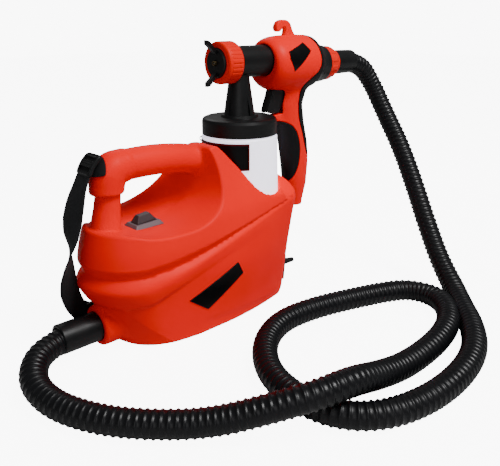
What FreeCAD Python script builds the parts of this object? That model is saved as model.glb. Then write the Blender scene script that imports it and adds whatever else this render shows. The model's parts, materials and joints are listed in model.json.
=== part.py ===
import FreeCAD, Part
import math
import os
import Sketcher
from FreeCAD import Placement, Rotation, Vector

# A turbine paint sprayer: a blower base with a carrying handle, a ribbed air hose, and a spray gun whose
# paint cup stands in a cradle at the rear of the base.
# X runs along the base towards the rear, Y to the far side, Z up from the floor. Lengths are in millimetres.
# Every place along X is counted from the axis of the paint cup, and cup_axis_x then moves the whole machine.

SIZES = {
    # Whole machine
    "cup_axis_x": 11.0,
    "fit_gap": 0.3,
    "hub_gap": 0.03,
    # Blower housing, four outlines from the floor to the deck and a fifth at the tower's crown
    "housing_wall": 3.0,
    "widest_x": -95.0,
    "corner_radius": 13.0,
    "foot_height": 2.0,
    "foot_nose": 206.0,
    "foot_nose_radius": 50.0,
    "foot_half": 58.0,
    "foot_rear": 42.0,
    "foot_rear_half": 48.0,
    "belly_height": 84.0,
    "belly_nose": 232.0,
    "belly_nose_radius": 52.0,
    "belly_half": 69.0,
    "belly_rear": 50.0,
    "belly_rear_half": 52.0,
    "shoulder_height": 124.0,
    "shoulder_nose": 230.0,
    "shoulder_nose_radius": 51.0,
    "shoulder_half": 67.0,
    "shoulder_rear": 55.0,
    "shoulder_rear_half": 55.0,
    "deck_height": 152.0,
    "deck_nose": 222.0,
    "deck_nose_radius": 48.0,
    "deck_half": 62.0,
    "deck_rear": 60.0,
    "deck_rear_half": 56.0,
    "crown_height": 236.0,
    "crown_nose": 205.0,
    "crown_nose_radius": 24.0,
    "crown_half": 30.0,
    "crown_rear": 63.0,
    "crown_rear_half": 24.0,
    "deck_floor": 142.0,
    "tower_top": 229.0,
    "groove_depth": 5.0,
    "groove_top_at_nose": 113.0,
    "groove_bottom_at_nose": 98.0,
    "rear_crest": 172.0,
    "rear_shoulder": 149.0,
    "boss_radius": 5.0,
    "boss_hole_radius": 1.9,
    "pilot_hole_radius": 1.5,
    "counterbore_radius": 3.6,
    "screw_seat_y": 14.0,
    # Carrying handle
    "handle_radius": 18.0,
    "handle_height": 219.0,
    "handle_rear_height": 209.0,
    "post_x": -208.0,
    "post_radius": 16.0,
    "head_radius": 20.5,
    "handle_bend": 30.0,
    # Cradle and paint cup
    "pocket_radius": 54.0,
    "pocket_floor": 127.7,
    "cup_bottom": 128.0,
    "cup_bottom_radius": 53.0,
    "cup_top_radius": 50.5,
    "cup_neck_radius": 46.3,
    "cup_mouth": 250.2,
    "cup_wall": 2.0,
    "lid_radius": 50.0,
    "lid_bottom": 234.5,
    "lid_height": 22.0,
    "lid_wall": 3.0,
    "lid_plate": 4.3,
    "lid_boss_radius": 24.0,
    "lid_boss_height": 3.0,
    "lid_hole_radius": 9.0,
    "gasket_width": 5.5,
    "pickup_radius": 4.0,
    "pickup_bore": 2.8,
    "pickup_bottom": 134.0,
    "pickup_top": 270.0,
    "cup_plate_top": 228.5,
    "cup_plate_height": 34.0,
    "cup_plate_angle": 122.0,
    "plate_thickness": 0.6,
    # Air outlet at the nose
    "outlet_height": 31.0,
    "collar_radius": 25.0,
    "collar_face_x": -236.0,
    "collar_depth": 22.0,
    "base_cuff_radius": 18.0,
    "base_cuff_length": 70.0,
    "duct_radius": 14.5,
    "duct_bore": 12.5,
    # Power switch
    "switch_x": -160.0,
    "switch_length": 35.0,
    "switch_width": 23.0,
    "switch_frame_height": 4.5,
    "switch_hole_length": 27.4,
    "switch_hole_width": 16.4,
    "rocker_length": 25.6,
    "rocker_width": 15.2,
    "rocker_top_length": 19.0,
    "rocker_top_width": 9.0,
    "rocker_height": 13.0,
    "rocker_rest_tilt": 6.0,
    "rocker_pin_radius": 1.5,
    "switch_body_depth": 22.0,
    # Motor and turbine, one axis along X
    "motor_axis_height": 56.0,
    "case_radius": 46.0,
    "case_wall": 2.5,
    "case_front_x": -172.0,
    "case_rear_x": -128.0,
    "cover_thickness": 2.5,
    "inlet_radius": 20.0,
    "skirt_radius": 30.0,
    "fan_radius": 41.0,
    "fan_thickness": 13.0,
    "fan_plate": 1.5,
    "fan_hub_radius": 9.0,
    "vane_thickness": 1.4,
    "front_fan_x": -164.0,
    "rear_fan_x": -145.0,
    "diffuser_x": -149.6,
    "diffuser_thickness": 2.0,
    "diffuser_hole": 18.0,
    "shaft_radius": 4.0,
    "shaft_front_x": -168.5,
    "shaft_rear_x": -37.0,
    "fan_nut_radius": 7.0,
    "fan_nut_height": 4.0,
    "stator_front_x": -112.0,
    "stator_rear_x": -68.0,
    "stator_bore": 21.0,
    "armature_radius": 20.4,
    "armature_front_x": -109.0,
    "armature_rear_x": -71.0,
    "commutator_radius": 12.0,
    "commutator_front_x": -62.5,
    "commutator_rear_x": -51.5,
    "bearing_radius": 11.0,
    "bearing_width": 7.0,
    "front_bearing_x": -123.0,
    "rear_bearing_x": -47.0,
    "bearing_seat_radius": 14.0,
    "end_frame_wall": 2.5,
    "brush_width": 8.0,
    "brush_height": 5.0,
    "brush_length": 13.0,
    "mount_thickness": 4.0,
    "front_mount_x": -158.0,
    "front_mount_width": 12.0,
    "rear_mount_x": -84.0,
    "rear_mount_width": 10.0,
    "rib_thickness": 4.0,
    # Rear panel, intake filter and cord gland
    "panel_height": 36.0,
    "panel_width": 88.0,
    "panel_bottom": 21.0,
    "panel_thickness": 2.0,
    "panel_rim": 2.0,
    "panel_rim_depth": 10.0,
    "foam_thickness": 8.0,
    "slot_width": 3.0,
    "slot_pitch": 6.0,
    "gland_y": -29.0,
    "gland_height": 20.0,
    "gland_radius": 4.2,
    "gland_length": 34.0,
    # Rubber feet
    "rubber_foot_radius": 9.0,
    "foot_front_x": -150.0,
    "foot_rear_x": 18.0,
    "foot_spread": 36.0,
    # Air hose
    "hose_radius": 15.0,
    "hose_valley_radius": 13.9,
    "hose_bore": 12.4,
    "cuffed_length": 28.0,
    "base_plain_length": 35.0,
    "gun_plain_length": 30.5,
    "rib_count": 196,
    "rib_width_share": 0.42,
    # Carrying strap
    "strap_width": 25.0,
    "strap_thickness": 1.8,
    "buckle_length": 30.0,
    "buckle_thickness": 5.0,
    "anchor_length": 14.0,
    "anchor_thickness": 5.0,
    # Spray gun
    "barrel_height": 326.0,
    "barrel_radius": 20.0,
    "barrel_wall": 2.5,
    "barrel_front_x": -32.0,
    "barrel_rear_x": 58.0,
    "neck_top_radius": 13.0,
    "neck_bottom_radius": 20.5,
    "neck_rib_thickness": 3.0,
    "neck_rib_foot": 24.0,
    "neck_rib_crown": 12.5,
    "fluid_tube_radius": 7.0,
    "fluid_bore": 3.0,
    "web_x": 40.0,
    "web_thickness": 4.0,
    "web_hole_radius": 3.5,
    "web_hole_circle": 12.3,
    "nut_radius": 25.7,
    "nut_front_x": -38.5,
    "nut_length": 24.0,
    "nut_lip": 2.5,
    "nut_lip_bore": 18.4,
    "nut_rib_count": 30,
    "nut_rib_depth": 1.0,
    "air_cap_radius": 17.9,
    "air_cap_flange_radius": 19.4,
    "air_cap_hole": 3.6,
    "horn_width": 6.0,
    "nozzle_radius": 8.0,
    "nozzle_tip_radius": 3.0,
    "needle_radius": 1.5,
    "needle_rear_x": 122.0,
    "packing_radius": 5.5,
    "head_height": 321.0,
    "gun_wall": 2.5,
    "grip_wall": 2.5,
    "tail_height": 317.0,
    "tail_front_x": 150.0,
    "tail_collar_radius": 25.0,
    "tail_collar_length": 23.7,
    "swivel_length": 24.0,
    "swivel_front_radius": 24.0,
    "swivel_rear_radius": 19.5,
    "connector_radius": 14.0,
    "connector_tip_radius": 12.1,
    "connector_bore": 10.5,
    "connector_flange_radius": 20.0,
    "gun_cuff_radius": 16.5,
    "gun_cuff_length": 34.0,
    "hook_thickness": 8.0,
    "trigger_thickness": 15.0,
    "trigger_slot_gap": 0.8,
    "trigger_pin_x": 74.0,
    "trigger_pin_height": 344.0,
    "trigger_pin_radius": 2.0,
    "spring_coil_radius": 3.6,
    "spring_wire_radius": 0.5,
    "spring_front_x": 86.3,
    "spring_seat_x": 112.0,
    "spring_pitch": 4.2,
    "gun_screw_seat_y": 7.0,
    "gun_boss_radius": 4.0,
}


# Sizes that carry both a value and the spreadsheet formula it comes from

class Term:
    def __init__(self, value, text):
        self.value = value
        self.text = text

    def __add__(self, other):
        other = term(other)
        return Term(self.value + other.value, f"({self.text} + {other.text})")

    def __radd__(self, other):
        return term(other) + self

    def __sub__(self, other):
        other = term(other)
        return Term(self.value - other.value, f"({self.text} - {other.text})")

    def __rsub__(self, other):
        return term(other) - self

    def __mul__(self, factor):
        factor = term(factor)
        return Term(self.value * factor.value, f"({self.text} * {factor.text})")

    def __rmul__(self, factor):
        return term(factor) * self

    def __truediv__(self, divisor):
        divisor = term(divisor)
        return Term(self.value / divisor.value, f"({self.text} / {divisor.text})")

    def __neg__(self):
        return Term(-self.value, f"(0 - {self.text})")

    def __float__(self):
        return float(self.value)


def term(value):
    if isinstance(value, Term):
        return value
    return Term(float(value), f"({float(value)!r})")


class Cells:
    pass


doc = FreeCAD.newDocument("paint_sprayer")
sheet = doc.addObject("Spreadsheet::Sheet", "Sizes")
S = Cells()
for row, (alias, number) in enumerate(SIZES.items(), start=1):
    sheet.set(f"A{row}", alias)
    sheet.set(f"B{row}", str(number))
    sheet.setAlias(f"B{row}", alias)
    setattr(S, alias, Term(number, f"Sizes.{alias}"))
doc.recompute()

sub_parts = []


# Helpers for features bound to the sheet

def bind(thing, prop, value):
    """Sets a property of a document object to a size from the sheet."""
    value = term(value)
    thing.setExpression(prop, value.text)


def place(thing, x=0.0, y=0.0, z=0.0, rotation=None):
    """Puts a sub-part at a point counted from the cup's axis."""
    if rotation is not None:
        thing.Placement = Placement(Vector(0, 0, 0), rotation)
    bind(thing, ".Placement.Base.x", S.cup_axis_x + x)
    bind(thing, ".Placement.Base.y", term(y))
    bind(thing, ".Placement.Base.z", term(z))
    return thing


def new_body(label):
    body = doc.addObject("PartDesign::Body", label)
    body.Label = label
    sub_parts.append(body)
    return body


def origin_plane(body, role):
    return next(item for item in body.Origin.OriginFeatures if item.Role == role)


def new_sketch(body, role):
    sketch = body.newObject("Sketcher::SketchObject", "Sketch")
    sketch.AttachmentSupport = [(origin_plane(body, role), "")]
    sketch.MapMode = "FlatFace"
    return sketch


def hold_point(sketch, geometry, corner, point):
    """Ties a sketch point to the sketch's origin with two bound distances."""
    for kind, value in (("DistanceX", term(point[0])), ("DistanceY", term(point[1]))):
        number = sketch.addConstraint(Sketcher.Constraint(kind, -1, 1, geometry, corner, value.value))
        sketch.setExpression(f"Constraints[{number}]", value.text)


def draw_polygon(sketch, points):
    """A closed outline of straight lines through bound points."""
    first = sketch.GeometryCount
    count = len(points)
    flat = [Vector(float(term(x)), float(term(y)), 0) for x, y in points]
    lines = [Part.LineSegment(flat[i], flat[(i + 1) % count]) for i in range(count)]
    sketch.addGeometry(lines, False)
    joints = [
        Sketcher.Constraint("Coincident", first + i, 2, first + (i + 1) % count, 1)
        for i in range(count)
    ]
    sketch.addConstraint(joints)
    for i, point in enumerate(points):
        hold_point(sketch, first + i, 1, point)
    return sketch


def draw_circle(sketch, x, y, radius):
    """A circle with a bound centre and radius."""
    centre = Vector(float(term(x)), float(term(y)), 0)
    radius = term(radius)
    number = sketch.addGeometry(Part.Circle(centre, Vector(0, 0, 1), radius.value), False)
    hold_point(sketch, number, 3, (x, y))
    held = sketch.addConstraint(Sketcher.Constraint("Radius", number, radius.value))
    sketch.setExpression(f"Constraints[{held}]", radius.text)
    return sketch


def revolution(body, points, axis="H_Axis"):
    sketch = draw_polygon(new_sketch(body, "XZ_Plane"), points)
    turned = body.newObject("PartDesign::Revolution", "Revolution")
    turned.Profile = sketch
    turned.ReferenceAxis = (sketch, [axis])
    turned.Angle = 360
    body.Tip = turned
    return turned


def turned_x(label, points, height, y=0.0):
    """A body of revolution about an axis along X. Its points are (place along X, radius)."""
    body = new_body(label)
    revolution(body, points, "H_Axis")
    place(body, 0.0, y, height)
    return body


def turned_z(label, points):
    """A body of revolution about the cup's axis. Its points are (radius, height)."""
    body = new_body(label)
    revolution(body, points, "V_Axis")
    place(body)
    return body


def box_points(x, y, length, width):
    """The corners of a rectangle about a point."""
    return [
        (x - length / 2, y - width / 2),
        (x + length / 2, y - width / 2),
        (x + length / 2, y + width / 2),
        (x - length / 2, y + width / 2),
    ]


def pad(body, sketch, length, both_ways=False, name="Pad"):
    feature = body.newObject("PartDesign::Pad", name)
    feature.Profile = sketch
    feature.Midplane = both_ways
    bind(feature, "Length", length)
    body.Tip = feature
    return feature


def pocket(body, sketch, length, both_ways=False, reverse=False, name="Pocket"):
    feature = body.newObject("PartDesign::Pocket", name)
    feature.Profile = sketch
    feature.Midplane = both_ways
    feature.Reversed = reverse
    bind(feature, "Length", length)
    body.Tip = feature
    return feature


def around(body, feature, count, axis_role):
    """Repeats a feature evenly about one of the body's own axes."""
    pattern = body.newObject("PartDesign::PolarPattern", "Around")
    pattern.Originals = [feature]
    pattern.Axis = (origin_plane(body, axis_role), [""])
    pattern.Angle = 360
    pattern.Occurrences = int(count)
    body.Tip = pattern
    return pattern


def solid_feature(label, shape):
    """A sub-part whose shape is made with the geometry functions below."""
    feature = doc.addObject("Part::Feature", label)
    feature.Label = label
    feature.Shape = Part.makeCompound([shape])
    sub_parts.append(feature)
    return place(feature)


def value_of(*names):
    return [SIZES[name] for name in names]


# Plain geometry for the freely curved sub-parts

def outline(start, *moves):
    """A closed face in the XZ plane. A move is (x, z) for a line or (via x, via z, x, z) for an arc."""
    edges = []
    here = Vector(start[0], 0, start[1])
    for move in moves:
        there = Vector(move[-2], 0, move[-1])
        if len(move) == 2:
            edges.append(Part.LineSegment(here, there).toShape())
        else:
            edges.append(Part.Arc(here, Vector(move[0], 0, move[1]), there).toShape())
        here = there
    edges.append(Part.LineSegment(here, Vector(start[0], 0, start[1])).toShape())
    return Part.Face(Part.Wire(edges))


def across(face, near, far):
    """Extrudes a face of the XZ plane from one Y to another."""
    moved = face.copy()
    moved.translate(Vector(0, near, 0))
    return moved.extrude(Vector(0, far - near, 0))


def cylinder(radius, length, start, direction):
    return Part.makeCylinder(radius, length, Vector(*start), Vector(*direction))


def block(low, high):
    size = [b - a for a, b in zip(low, high)]
    return Part.makeBox(size[0], size[1], size[2], Vector(*low))


def turned_shape(face, height):
    """Revolves a face of the XZ plane about the line along X at one height."""
    return face.revolve(Vector(0, 0, height), Vector(1, 0, 0), 360)


class Route:
    """Straight runs joined by tangent arcs. The radii are as large as the runs allow, or given."""

    def __init__(self, points, radii=None):
        points = [Vector(*p) for p in points]
        self.pieces = []
        self.radii = []
        here = points[0]
        for i in range(1, len(points) - 1):
            before = points[i] - points[i - 1]
            after = points[i + 1] - points[i]
            turn = before.getAngle(after)
            shorter = min(before.Length, after.Length)
            radius = radii[i - 1] if radii else 0.45 * shorter / math.tan(turn / 2)
            reach = radius * math.tan(turn / 2)
            incoming = Vector(before).normalize()
            outgoing = Vector(after).normalize()
            start = points[i] - incoming * reach
            end = points[i] + outgoing * reach
            inward = (outgoing - incoming).normalize()
            centre = points[i] + inward * math.hypot(radius, reach)
            self.pieces.append(("line", here, start, (start - here).Length))
            self.pieces.append(("arc", centre, start - centre, incoming, radius, radius * turn, end))
            self.radii.append(radius)
            here = end
        self.pieces.append(("line", here, points[-1], (points[-1] - here).Length))
        self.length = sum(piece[3] if piece[0] == "line" else piece[5] for piece in self.pieces)

    def at(self, distance):
        """The point and the direction at a distance along the route."""
        for piece in self.pieces:
            span = piece[3] if piece[0] == "line" else piece[5]
            if distance <= span or piece is self.pieces[-1]:
                break
            distance -= span
        if piece[0] == "line":
            direction = (piece[2] - piece[1]).normalize()
            return piece[1] + direction * distance, direction
        _, centre, spoke, incoming, radius, _, _ = piece
        angle = distance / radius
        point = centre + spoke * math.cos(angle) + incoming * (radius * math.sin(angle))
        direction = incoming * math.cos(angle) - Vector(spoke).normalize() * math.sin(angle)
        return point, direction

    def wire(self):
        edges = []
        for piece in self.pieces:
            if piece[0] == "line":
                edges.append(Part.LineSegment(piece[1], piece[2]).toShape())
            else:
                _, centre, spoke, incoming, radius, arc, end = piece
                half = arc / radius / 2
                middle = centre + spoke * math.cos(half) + incoming * (radius * math.sin(half))
                edges.append(Part.Arc(centre + spoke, middle, end).toShape())
        return Part.Wire(edges)

    def tube(self, radius):
        """A plain round tube along the route."""
        point, direction = self.at(0.0)
        ring = Part.Wire(Part.Circle(point, direction, radius).toShape())
        return self.wire().makePipeShell([ring], True, False)


# Blower housing

def plan_wire(level, inset):
    """One closed outline of the housing, seen from above, drawn in by an inset."""
    names = [f"{level}_{part}" for part in ("height", "nose", "nose_radius", "half", "rear", "rear_half")]
    height, nose, nose_radius, half, rear, rear_half = value_of(*names)
    widest, corner = value_of("widest_x", "corner_radius")
    nose, nose_radius, half = nose - inset, nose_radius - inset, half - inset
    rear, rear_half, corner = rear - inset, rear_half - inset, corner - inset
    nose_centre = nose_radius - nose
    side_radius = ((widest - nose_centre) ** 2 + half ** 2 - nose_radius ** 2) / (2 * (half - nose_radius))
    side_centre = half - side_radius
    share = nose_radius / (side_radius - nose_radius)
    touch_x = nose_centre + (nose_centre - widest) * share
    touch_y = -side_centre * share
    middle_x = (touch_x + widest) / 2
    middle_y = side_centre + math.sqrt(side_radius ** 2 - (middle_x - widest) ** 2)
    length = rear - corner - widest
    sag = half - rear_half
    rear_radius = (length ** 2 + sag ** 2) / (2 * sag)
    rear_y = half - rear_radius + math.sqrt(rear_radius ** 2 - (length / 2) ** 2)
    bend = corner * (1 - math.sqrt(0.5))

    def arc(*points):
        return Part.Arc(*[Vector(x, y, height) for x, y in points]).toShape()

    far = [
        arc((touch_x, touch_y), (middle_x, middle_y), (widest, half)),
        arc((widest, half), (widest + length / 2, rear_y), (rear - corner, rear_half)),
        arc((rear - corner, rear_half), (rear - bend, rear_half - bend), (rear, rear_half - corner)),
    ]
    near = [
        arc((rear, corner - rear_half), (rear - bend, bend - rear_half), (rear - corner, -rear_half)),
        arc((rear - corner, -rear_half), (widest + length / 2, -rear_y), (widest, -half)),
        arc((widest, -half), (middle_x, -middle_y), (touch_x, -touch_y)),
    ]
    nose_arc = arc((touch_x, -touch_y), (-nose, 0), (touch_x, touch_y))
    ends = Vector(rear, rear_half - corner, height), Vector(rear, corner - rear_half, height)
    rear_line = Part.LineSegment(*ends).toShape()
    return Part.Wire([nose_arc] + far + [rear_line] + near)


def housing_block(inset):
    """The housing's outside as a solid through its five outlines, drawn in by an inset."""
    levels = ("foot", "belly", "shoulder", "deck", "crown")
    return Part.makeLoft([plan_wire(level, inset) for level in levels], True, True)


def housing_side():
    """The housing seen from the side: deck, recess behind it, tower, cradle and rear wall."""
    deck, tower, foot, crest = value_of("deck_floor", "tower_top", "foot_height", "rear_crest")
    front = -SIZES["belly_nose"] - 30
    rear = SIZES["crown_rear"] + 20
    face = outline(
        (front, foot),
        (front, deck + 10),
        (-216, deck + 9),
        (-180, deck),
        (-126, deck),
        (-92, deck + 10, -77, deck + 40),
        (-75.5, deck + 62, -83, tower - 4),
        (-78, tower, -64, tower),
        (-46, tower),
        (-30, tower - 26, -8, tower - 52),
        (14, deck + 14.5, 34, deck + 17.5),
        (52, crest),
        (rear, crest),
        (rear, foot),
    )
    return across(face, -120, 120)


def groove_face(spare):
    """The long hollow line that sweeps from the nose up to the rear corner, widened by a spare."""
    top, bottom = value_of("groove_top_at_nose", "groove_bottom_at_nose")
    front = -SIZES["belly_nose"] - 20
    return outline(
        (front, top + spare),
        (-95, top + 11 + spare, 38, top + 37 + spare),
        (38, top + 35 - spare),
        (-95, bottom + 14 - spare, front, bottom - spare),
    )


def groove_ring(spare, depth):
    return across(groove_face(spare), -120, 120).cut(housing_block(depth))


def rear_arch_cutter():
    """What lies above the arched top of the rear wall."""
    crest, shoulder = value_of("rear_crest", "rear_shoulder")
    half = SIZES["deck_rear_half"]
    front, rear = 40, SIZES["crown_rear"] + 30
    arch = Part.Arc(Vector(front, -half, shoulder), Vector(front, 0, crest), Vector(front, half, shoulder))
    corners = [(half, crest + 60), (-half, crest + 60), (-half, shoulder)]
    edges = [arch.toShape()]
    here = Vector(front, half, shoulder)
    for y, z in corners:
        there = Vector(front, y, z)
        edges.append(Part.LineSegment(here, there).toShape())
        here = there
    return Part.Face(Part.Wire(edges)).extrude(Vector(rear - front, 0, 0))


def handle_route():
    """The carrying handle's centre line, from the tower forward, round the head and down the post."""
    post, high, low, bend = value_of("post_x", "handle_height", "handle_rear_height", "handle_bend")
    points = [
        (-62, 0, low),
        (-135, 0, high),
        (post, 0, high),
        (post - 5, 0, SIZES["deck_floor"] - 6),
    ]
    return Route(points, [160, bend])


def boss_places():
    """Where the two housing halves are screwed together."""
    return [(-205, 120), (-205, 66), (-92, 14), (30, 14), (34, 108), (-96, 126)]


def housing_cavity():
    """The hollow inside the housing, up to the deck and under the cradle."""
    wall, deck, floor, foot = value_of("housing_wall", "deck_floor", "pocket_floor", "foot_height")
    front = -SIZES["belly_nose"] - 20
    low = floor - wall
    face = outline(
        (front, foot + wall),
        (front, deck + 4),
        (-212, deck + 4),
        (-181, deck - wall),
        (-100, deck - wall),
        (-62, low),
        (90, low),
        (90, foot + wall),
    )
    hollow = housing_block(wall).common(across(face, -120, 120))
    hollow = hollow.cut(groove_ring(wall, SIZES["groove_depth"] + wall))
    tower = block((-70, -24, deck - wall - 6), (-SIZES["pocket_radius"] - wall, 24, SIZES["tower_top"] - 30))
    return hollow.fuse(tower.cut(cylinder(SIZES["pocket_radius"] + wall, 200, (0, 0, 100), (0, 0, 1))))


def rib_plate(x, radius):
    """A wall across the housing with a round seat for a rubber mount."""
    thick = SIZES["rib_thickness"]
    axis = SIZES["motor_axis_height"]
    plate = housing_cavity().common(block((x, -100, 0), (x + thick, 100, axis + radius + 4)))
    return plate.cut(cylinder(radius, thick + 2, (x - 1, 0, axis), (1, 0, 0)))


def housing_shape():
    wall, deck = value_of("housing_wall", "deck_floor")
    outside = housing_block(0).common(housing_side()).cut(rear_arch_cutter())
    outside = outside.cut(groove_ring(0, SIZES["groove_depth"]))
    height, collar, face_x = value_of("outlet_height", "collar_radius", "collar_face_x")
    outside = outside.fuse(cylinder(collar, 50, (face_x, 0, height), (1, 0, 0)))
    route = handle_route()
    radius, post_radius, head = value_of("handle_radius", "post_radius", "head_radius")
    outside = outside.fuse(route.tube(radius))
    corner = Route(
        [(-182, 0, SIZES["handle_height"]), (SIZES["post_x"], 0, SIZES["handle_height"]),
         (SIZES["post_x"] - 1, 0, SIZES["handle_height"] - 28)],
        [23],
    )
    outside = outside.fuse(corner.tube(head))
    pocket_hole = cylinder(SIZES["pocket_radius"], 200, (0, 0, SIZES["pocket_floor"]), (0, 0, 1))
    outside = outside.cut(pocket_hole)
    shell = outside.cut(housing_cavity()).cut(route.tube(radius - wall))
    shell = shell.fuse(collar_liner())
    mounts = (("front_mount_x", "front_mount_width"), ("rear_mount_x", "rear_mount_width"))
    seats = (SIZES["case_radius"], SIZES["skirt_radius"])
    for (place_name, width_name), seat in zip(mounts, seats):
        middle = SIZES[place_name] + (SIZES[width_name] - SIZES["rib_thickness"]) / 2
        clear = seat + SIZES["mount_thickness"] + SIZES["fit_gap"]
        shell = shell.fuse(rib_plate(middle, clear))
    for x, z in boss_places():
        boss = cylinder(SIZES["boss_radius"], 160, (x, -80, z), (0, 1, 0))
        shell = shell.fuse(boss.common(outside))
    for x, z in boss_places():
        seat = SIZES["screw_seat_y"]
        shell = shell.cut(cylinder(SIZES["pilot_hole_radius"], 18, (x, -18, z), (0, 1, 0)))
        shell = shell.cut(cylinder(SIZES["boss_hole_radius"], seat, (x, 0, z), (0, 1, 0)))
        shell = shell.cut(cylinder(SIZES["counterbore_radius"], 80, (x, seat, z), (0, 1, 0)))
    gap = SIZES["fit_gap"]
    cuff_hole = cylinder(SIZES["base_cuff_radius"] + gap, SIZES["collar_depth"] + 2, (face_x - 2, 0, height), (1, 0, 0))
    duct_hole = cylinder(SIZES["duct_radius"] + gap, 60, (face_x, 0, height), (1, 0, 0))
    shell = shell.cut(cuff_hole).cut(duct_hole)
    switch = SIZES["switch_x"]
    half_length, half_width = SIZES["switch_hole_length"] / 2, SIZES["switch_hole_width"] / 2
    shell = shell.cut(block((switch - half_length, -half_width, deck - 10), (switch + half_length, half_width, deck + 10)))
    return shell.cut(panel_opening())


def collar_liner():
    """The wall behind the collar that the air duct passes through."""
    height, collar, face_x, depth = value_of("outlet_height", "collar_radius", "collar_face_x", "collar_depth")
    liner = cylinder(collar - 1, 30, (face_x + 1, 0, height), (1, 0, 0))
    return liner.common(block((face_x, -60, SIZES["foot_height"]), (face_x + 31, 60, 120)))


def panel_lean():
    """How far the rear wall leans back, in degrees from upright."""
    rise = SIZES["belly_height"] - SIZES["foot_height"]
    return math.degrees(math.atan2(SIZES["belly_rear"] - SIZES["foot_rear"], rise))


def panel_foot_x():
    """Where the rear wall's outside stands at the panel's lower edge."""
    rise = SIZES["panel_bottom"] - SIZES["foot_height"]
    return SIZES["foot_rear"] + rise * math.tan(math.radians(panel_lean()))


def panel_opening():
    """The window in the rear wall behind the rear panel."""
    rim = SIZES["panel_rim"]
    half = SIZES["panel_width"] / 2 - 4 * rim + SIZES["fit_gap"]
    height = SIZES["panel_height"] - 4 * rim + 2 * SIZES["fit_gap"]
    opening = block((-14, -half, 2 * rim - SIZES["fit_gap"]), (8, half, 2 * rim - SIZES["fit_gap"] + height))
    opening.rotate(Vector(0, 0, 0), Vector(0, 1, 0), panel_lean())
    opening.translate(Vector(panel_foot_x(), 0, SIZES["panel_bottom"]))
    return opening


def make_housing():
    shell = housing_shape()
    near = shell.common(block((-300, -150, -10), (150, 0, 300)))
    far = shell.common(block((-300, 0, -10), (150, 150, 300)))
    solid_feature("housing_near", near)
    solid_feature("housing_far", far)


def screw_shape(shank_radius, shank_length, head_radius, head_height):
    """A pan head screw along Y, its head's seat at the origin and its point towards -Y."""
    head = cylinder(head_radius, head_height, (0, 0, 0), (0, 1, 0))
    slot = block((-head_radius, head_height - 0.8, -0.5), (head_radius, head_height + 1, 0.5))
    shank = cylinder(shank_radius, shank_length, (0, -shank_length, 0), (0, 1, 0))
    return head.cut(slot).fuse(shank).removeSplitter()


def make_housing_screws():
    screw = screw_shape(1.45, SIZES["screw_seat_y"] + 15, 3.2, 2.4)
    screws = []
    for x, z in boss_places():
        one = screw.copy()
        one.translate(Vector(x, SIZES["screw_seat_y"], z))
        screws.append(one)
    solid_feature("housing_screws", Part.makeCompound(screws))


def make_rubber_feet():
    discs = []
    for x in (S.foot_front_x, S.foot_rear_x):
        for side in (-1, 1):
            disc = doc.addObject("Part::Cylinder", "FootDisc")
            bind(disc, "Radius", S.rubber_foot_radius)
            bind(disc, "Height", S.foot_height)
            bind(disc, ".Placement.Base.x", x)
            bind(disc, ".Placement.Base.y", S.foot_spread * side)
            discs.append(disc)
    feet = doc.addObject("Part::Compound", "rubber_feet")
    feet.Label = "rubber_feet"
    feet.Links = discs
    sub_parts.append(feet)
    place(feet)


def make_base_plates():
    """A bare slanted plate on each side wall, following the wall."""
    slant = outline((-143, 55), (-66, 86), (-56, 68), (-115, 35))
    layer = housing_block(-SIZES["plate_thickness"]).cut(housing_block(0))
    pair = [layer.common(across(slant, near, far)) for near, far in ((-90, -30), (30, 90))]
    solid_feature("base_plates", Part.makeCompound(pair))


# Power switch

def make_switch():
    frame = new_body("switch_frame")
    sketch = draw_polygon(new_sketch(frame, "XY_Plane"), box_points(term(0), term(0), S.switch_length, S.switch_width))
    pad(frame, sketch, S.switch_frame_height)
    hole = draw_polygon(
        new_sketch(frame, "XY_Plane"), box_points(term(0), term(0), S.switch_hole_length, S.switch_hole_width)
    )
    pocket(frame, hole, S.switch_frame_height, reverse=True)
    place(frame, S.switch_x, 0.0, S.deck_floor)

    rocker = new_body("switch_rocker")
    low = draw_polygon(new_sketch(rocker, "XY_Plane"), box_points(term(0), term(0), S.rocker_length, S.rocker_width))
    bind(low, ".AttachmentOffset.Base.z", term(-1.0))
    base_pad = pad(rocker, low, term(4.0))
    foot = draw_polygon(new_sketch(rocker, "XY_Plane"), box_points(term(0), term(0), S.rocker_length, S.rocker_width))
    bind(foot, ".AttachmentOffset.Base.z", term(3.0))
    top = draw_polygon(
        new_sketch(rocker, "XY_Plane"), box_points(term(0), term(0), S.rocker_top_length, S.rocker_top_width)
    )
    bind(top, ".AttachmentOffset.Base.z", S.rocker_height - 1)
    loft = rocker.newObject("PartDesign::AdditiveLoft", "Slopes")
    loft.Profile = foot
    loft.Sections = [top]
    loft.Ruled = True
    rocker.Tip = loft
    turn = Rotation(Vector(0, 1, 0), -SIZES["rocker_rest_tilt"])
    place(rocker, S.switch_x, 0.0, S.deck_floor + 3, turn)

    body = new_body("switch_body")
    inner = draw_polygon(
        new_sketch(body, "XY_Plane"),
        box_points(term(0), term(0), S.switch_hole_length - 2 * S.fit_gap, S.switch_hole_width - 2 * S.fit_gap),
    )
    pad(body, inner, S.switch_body_depth)
    for offset in (-7, 0, 7):
        blade = draw_polygon(new_sketch(body, "XY_Plane"), box_points(term(offset), term(0), term(0.8), term(6.0)))
        bind(blade, ".AttachmentOffset.Base.z", term(-7.0))
        pad(body, blade, term(7.0))
    place(body, S.switch_x, 0.0, S.deck_floor - S.switch_body_depth - 1.5)


# Motor and turbine

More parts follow.
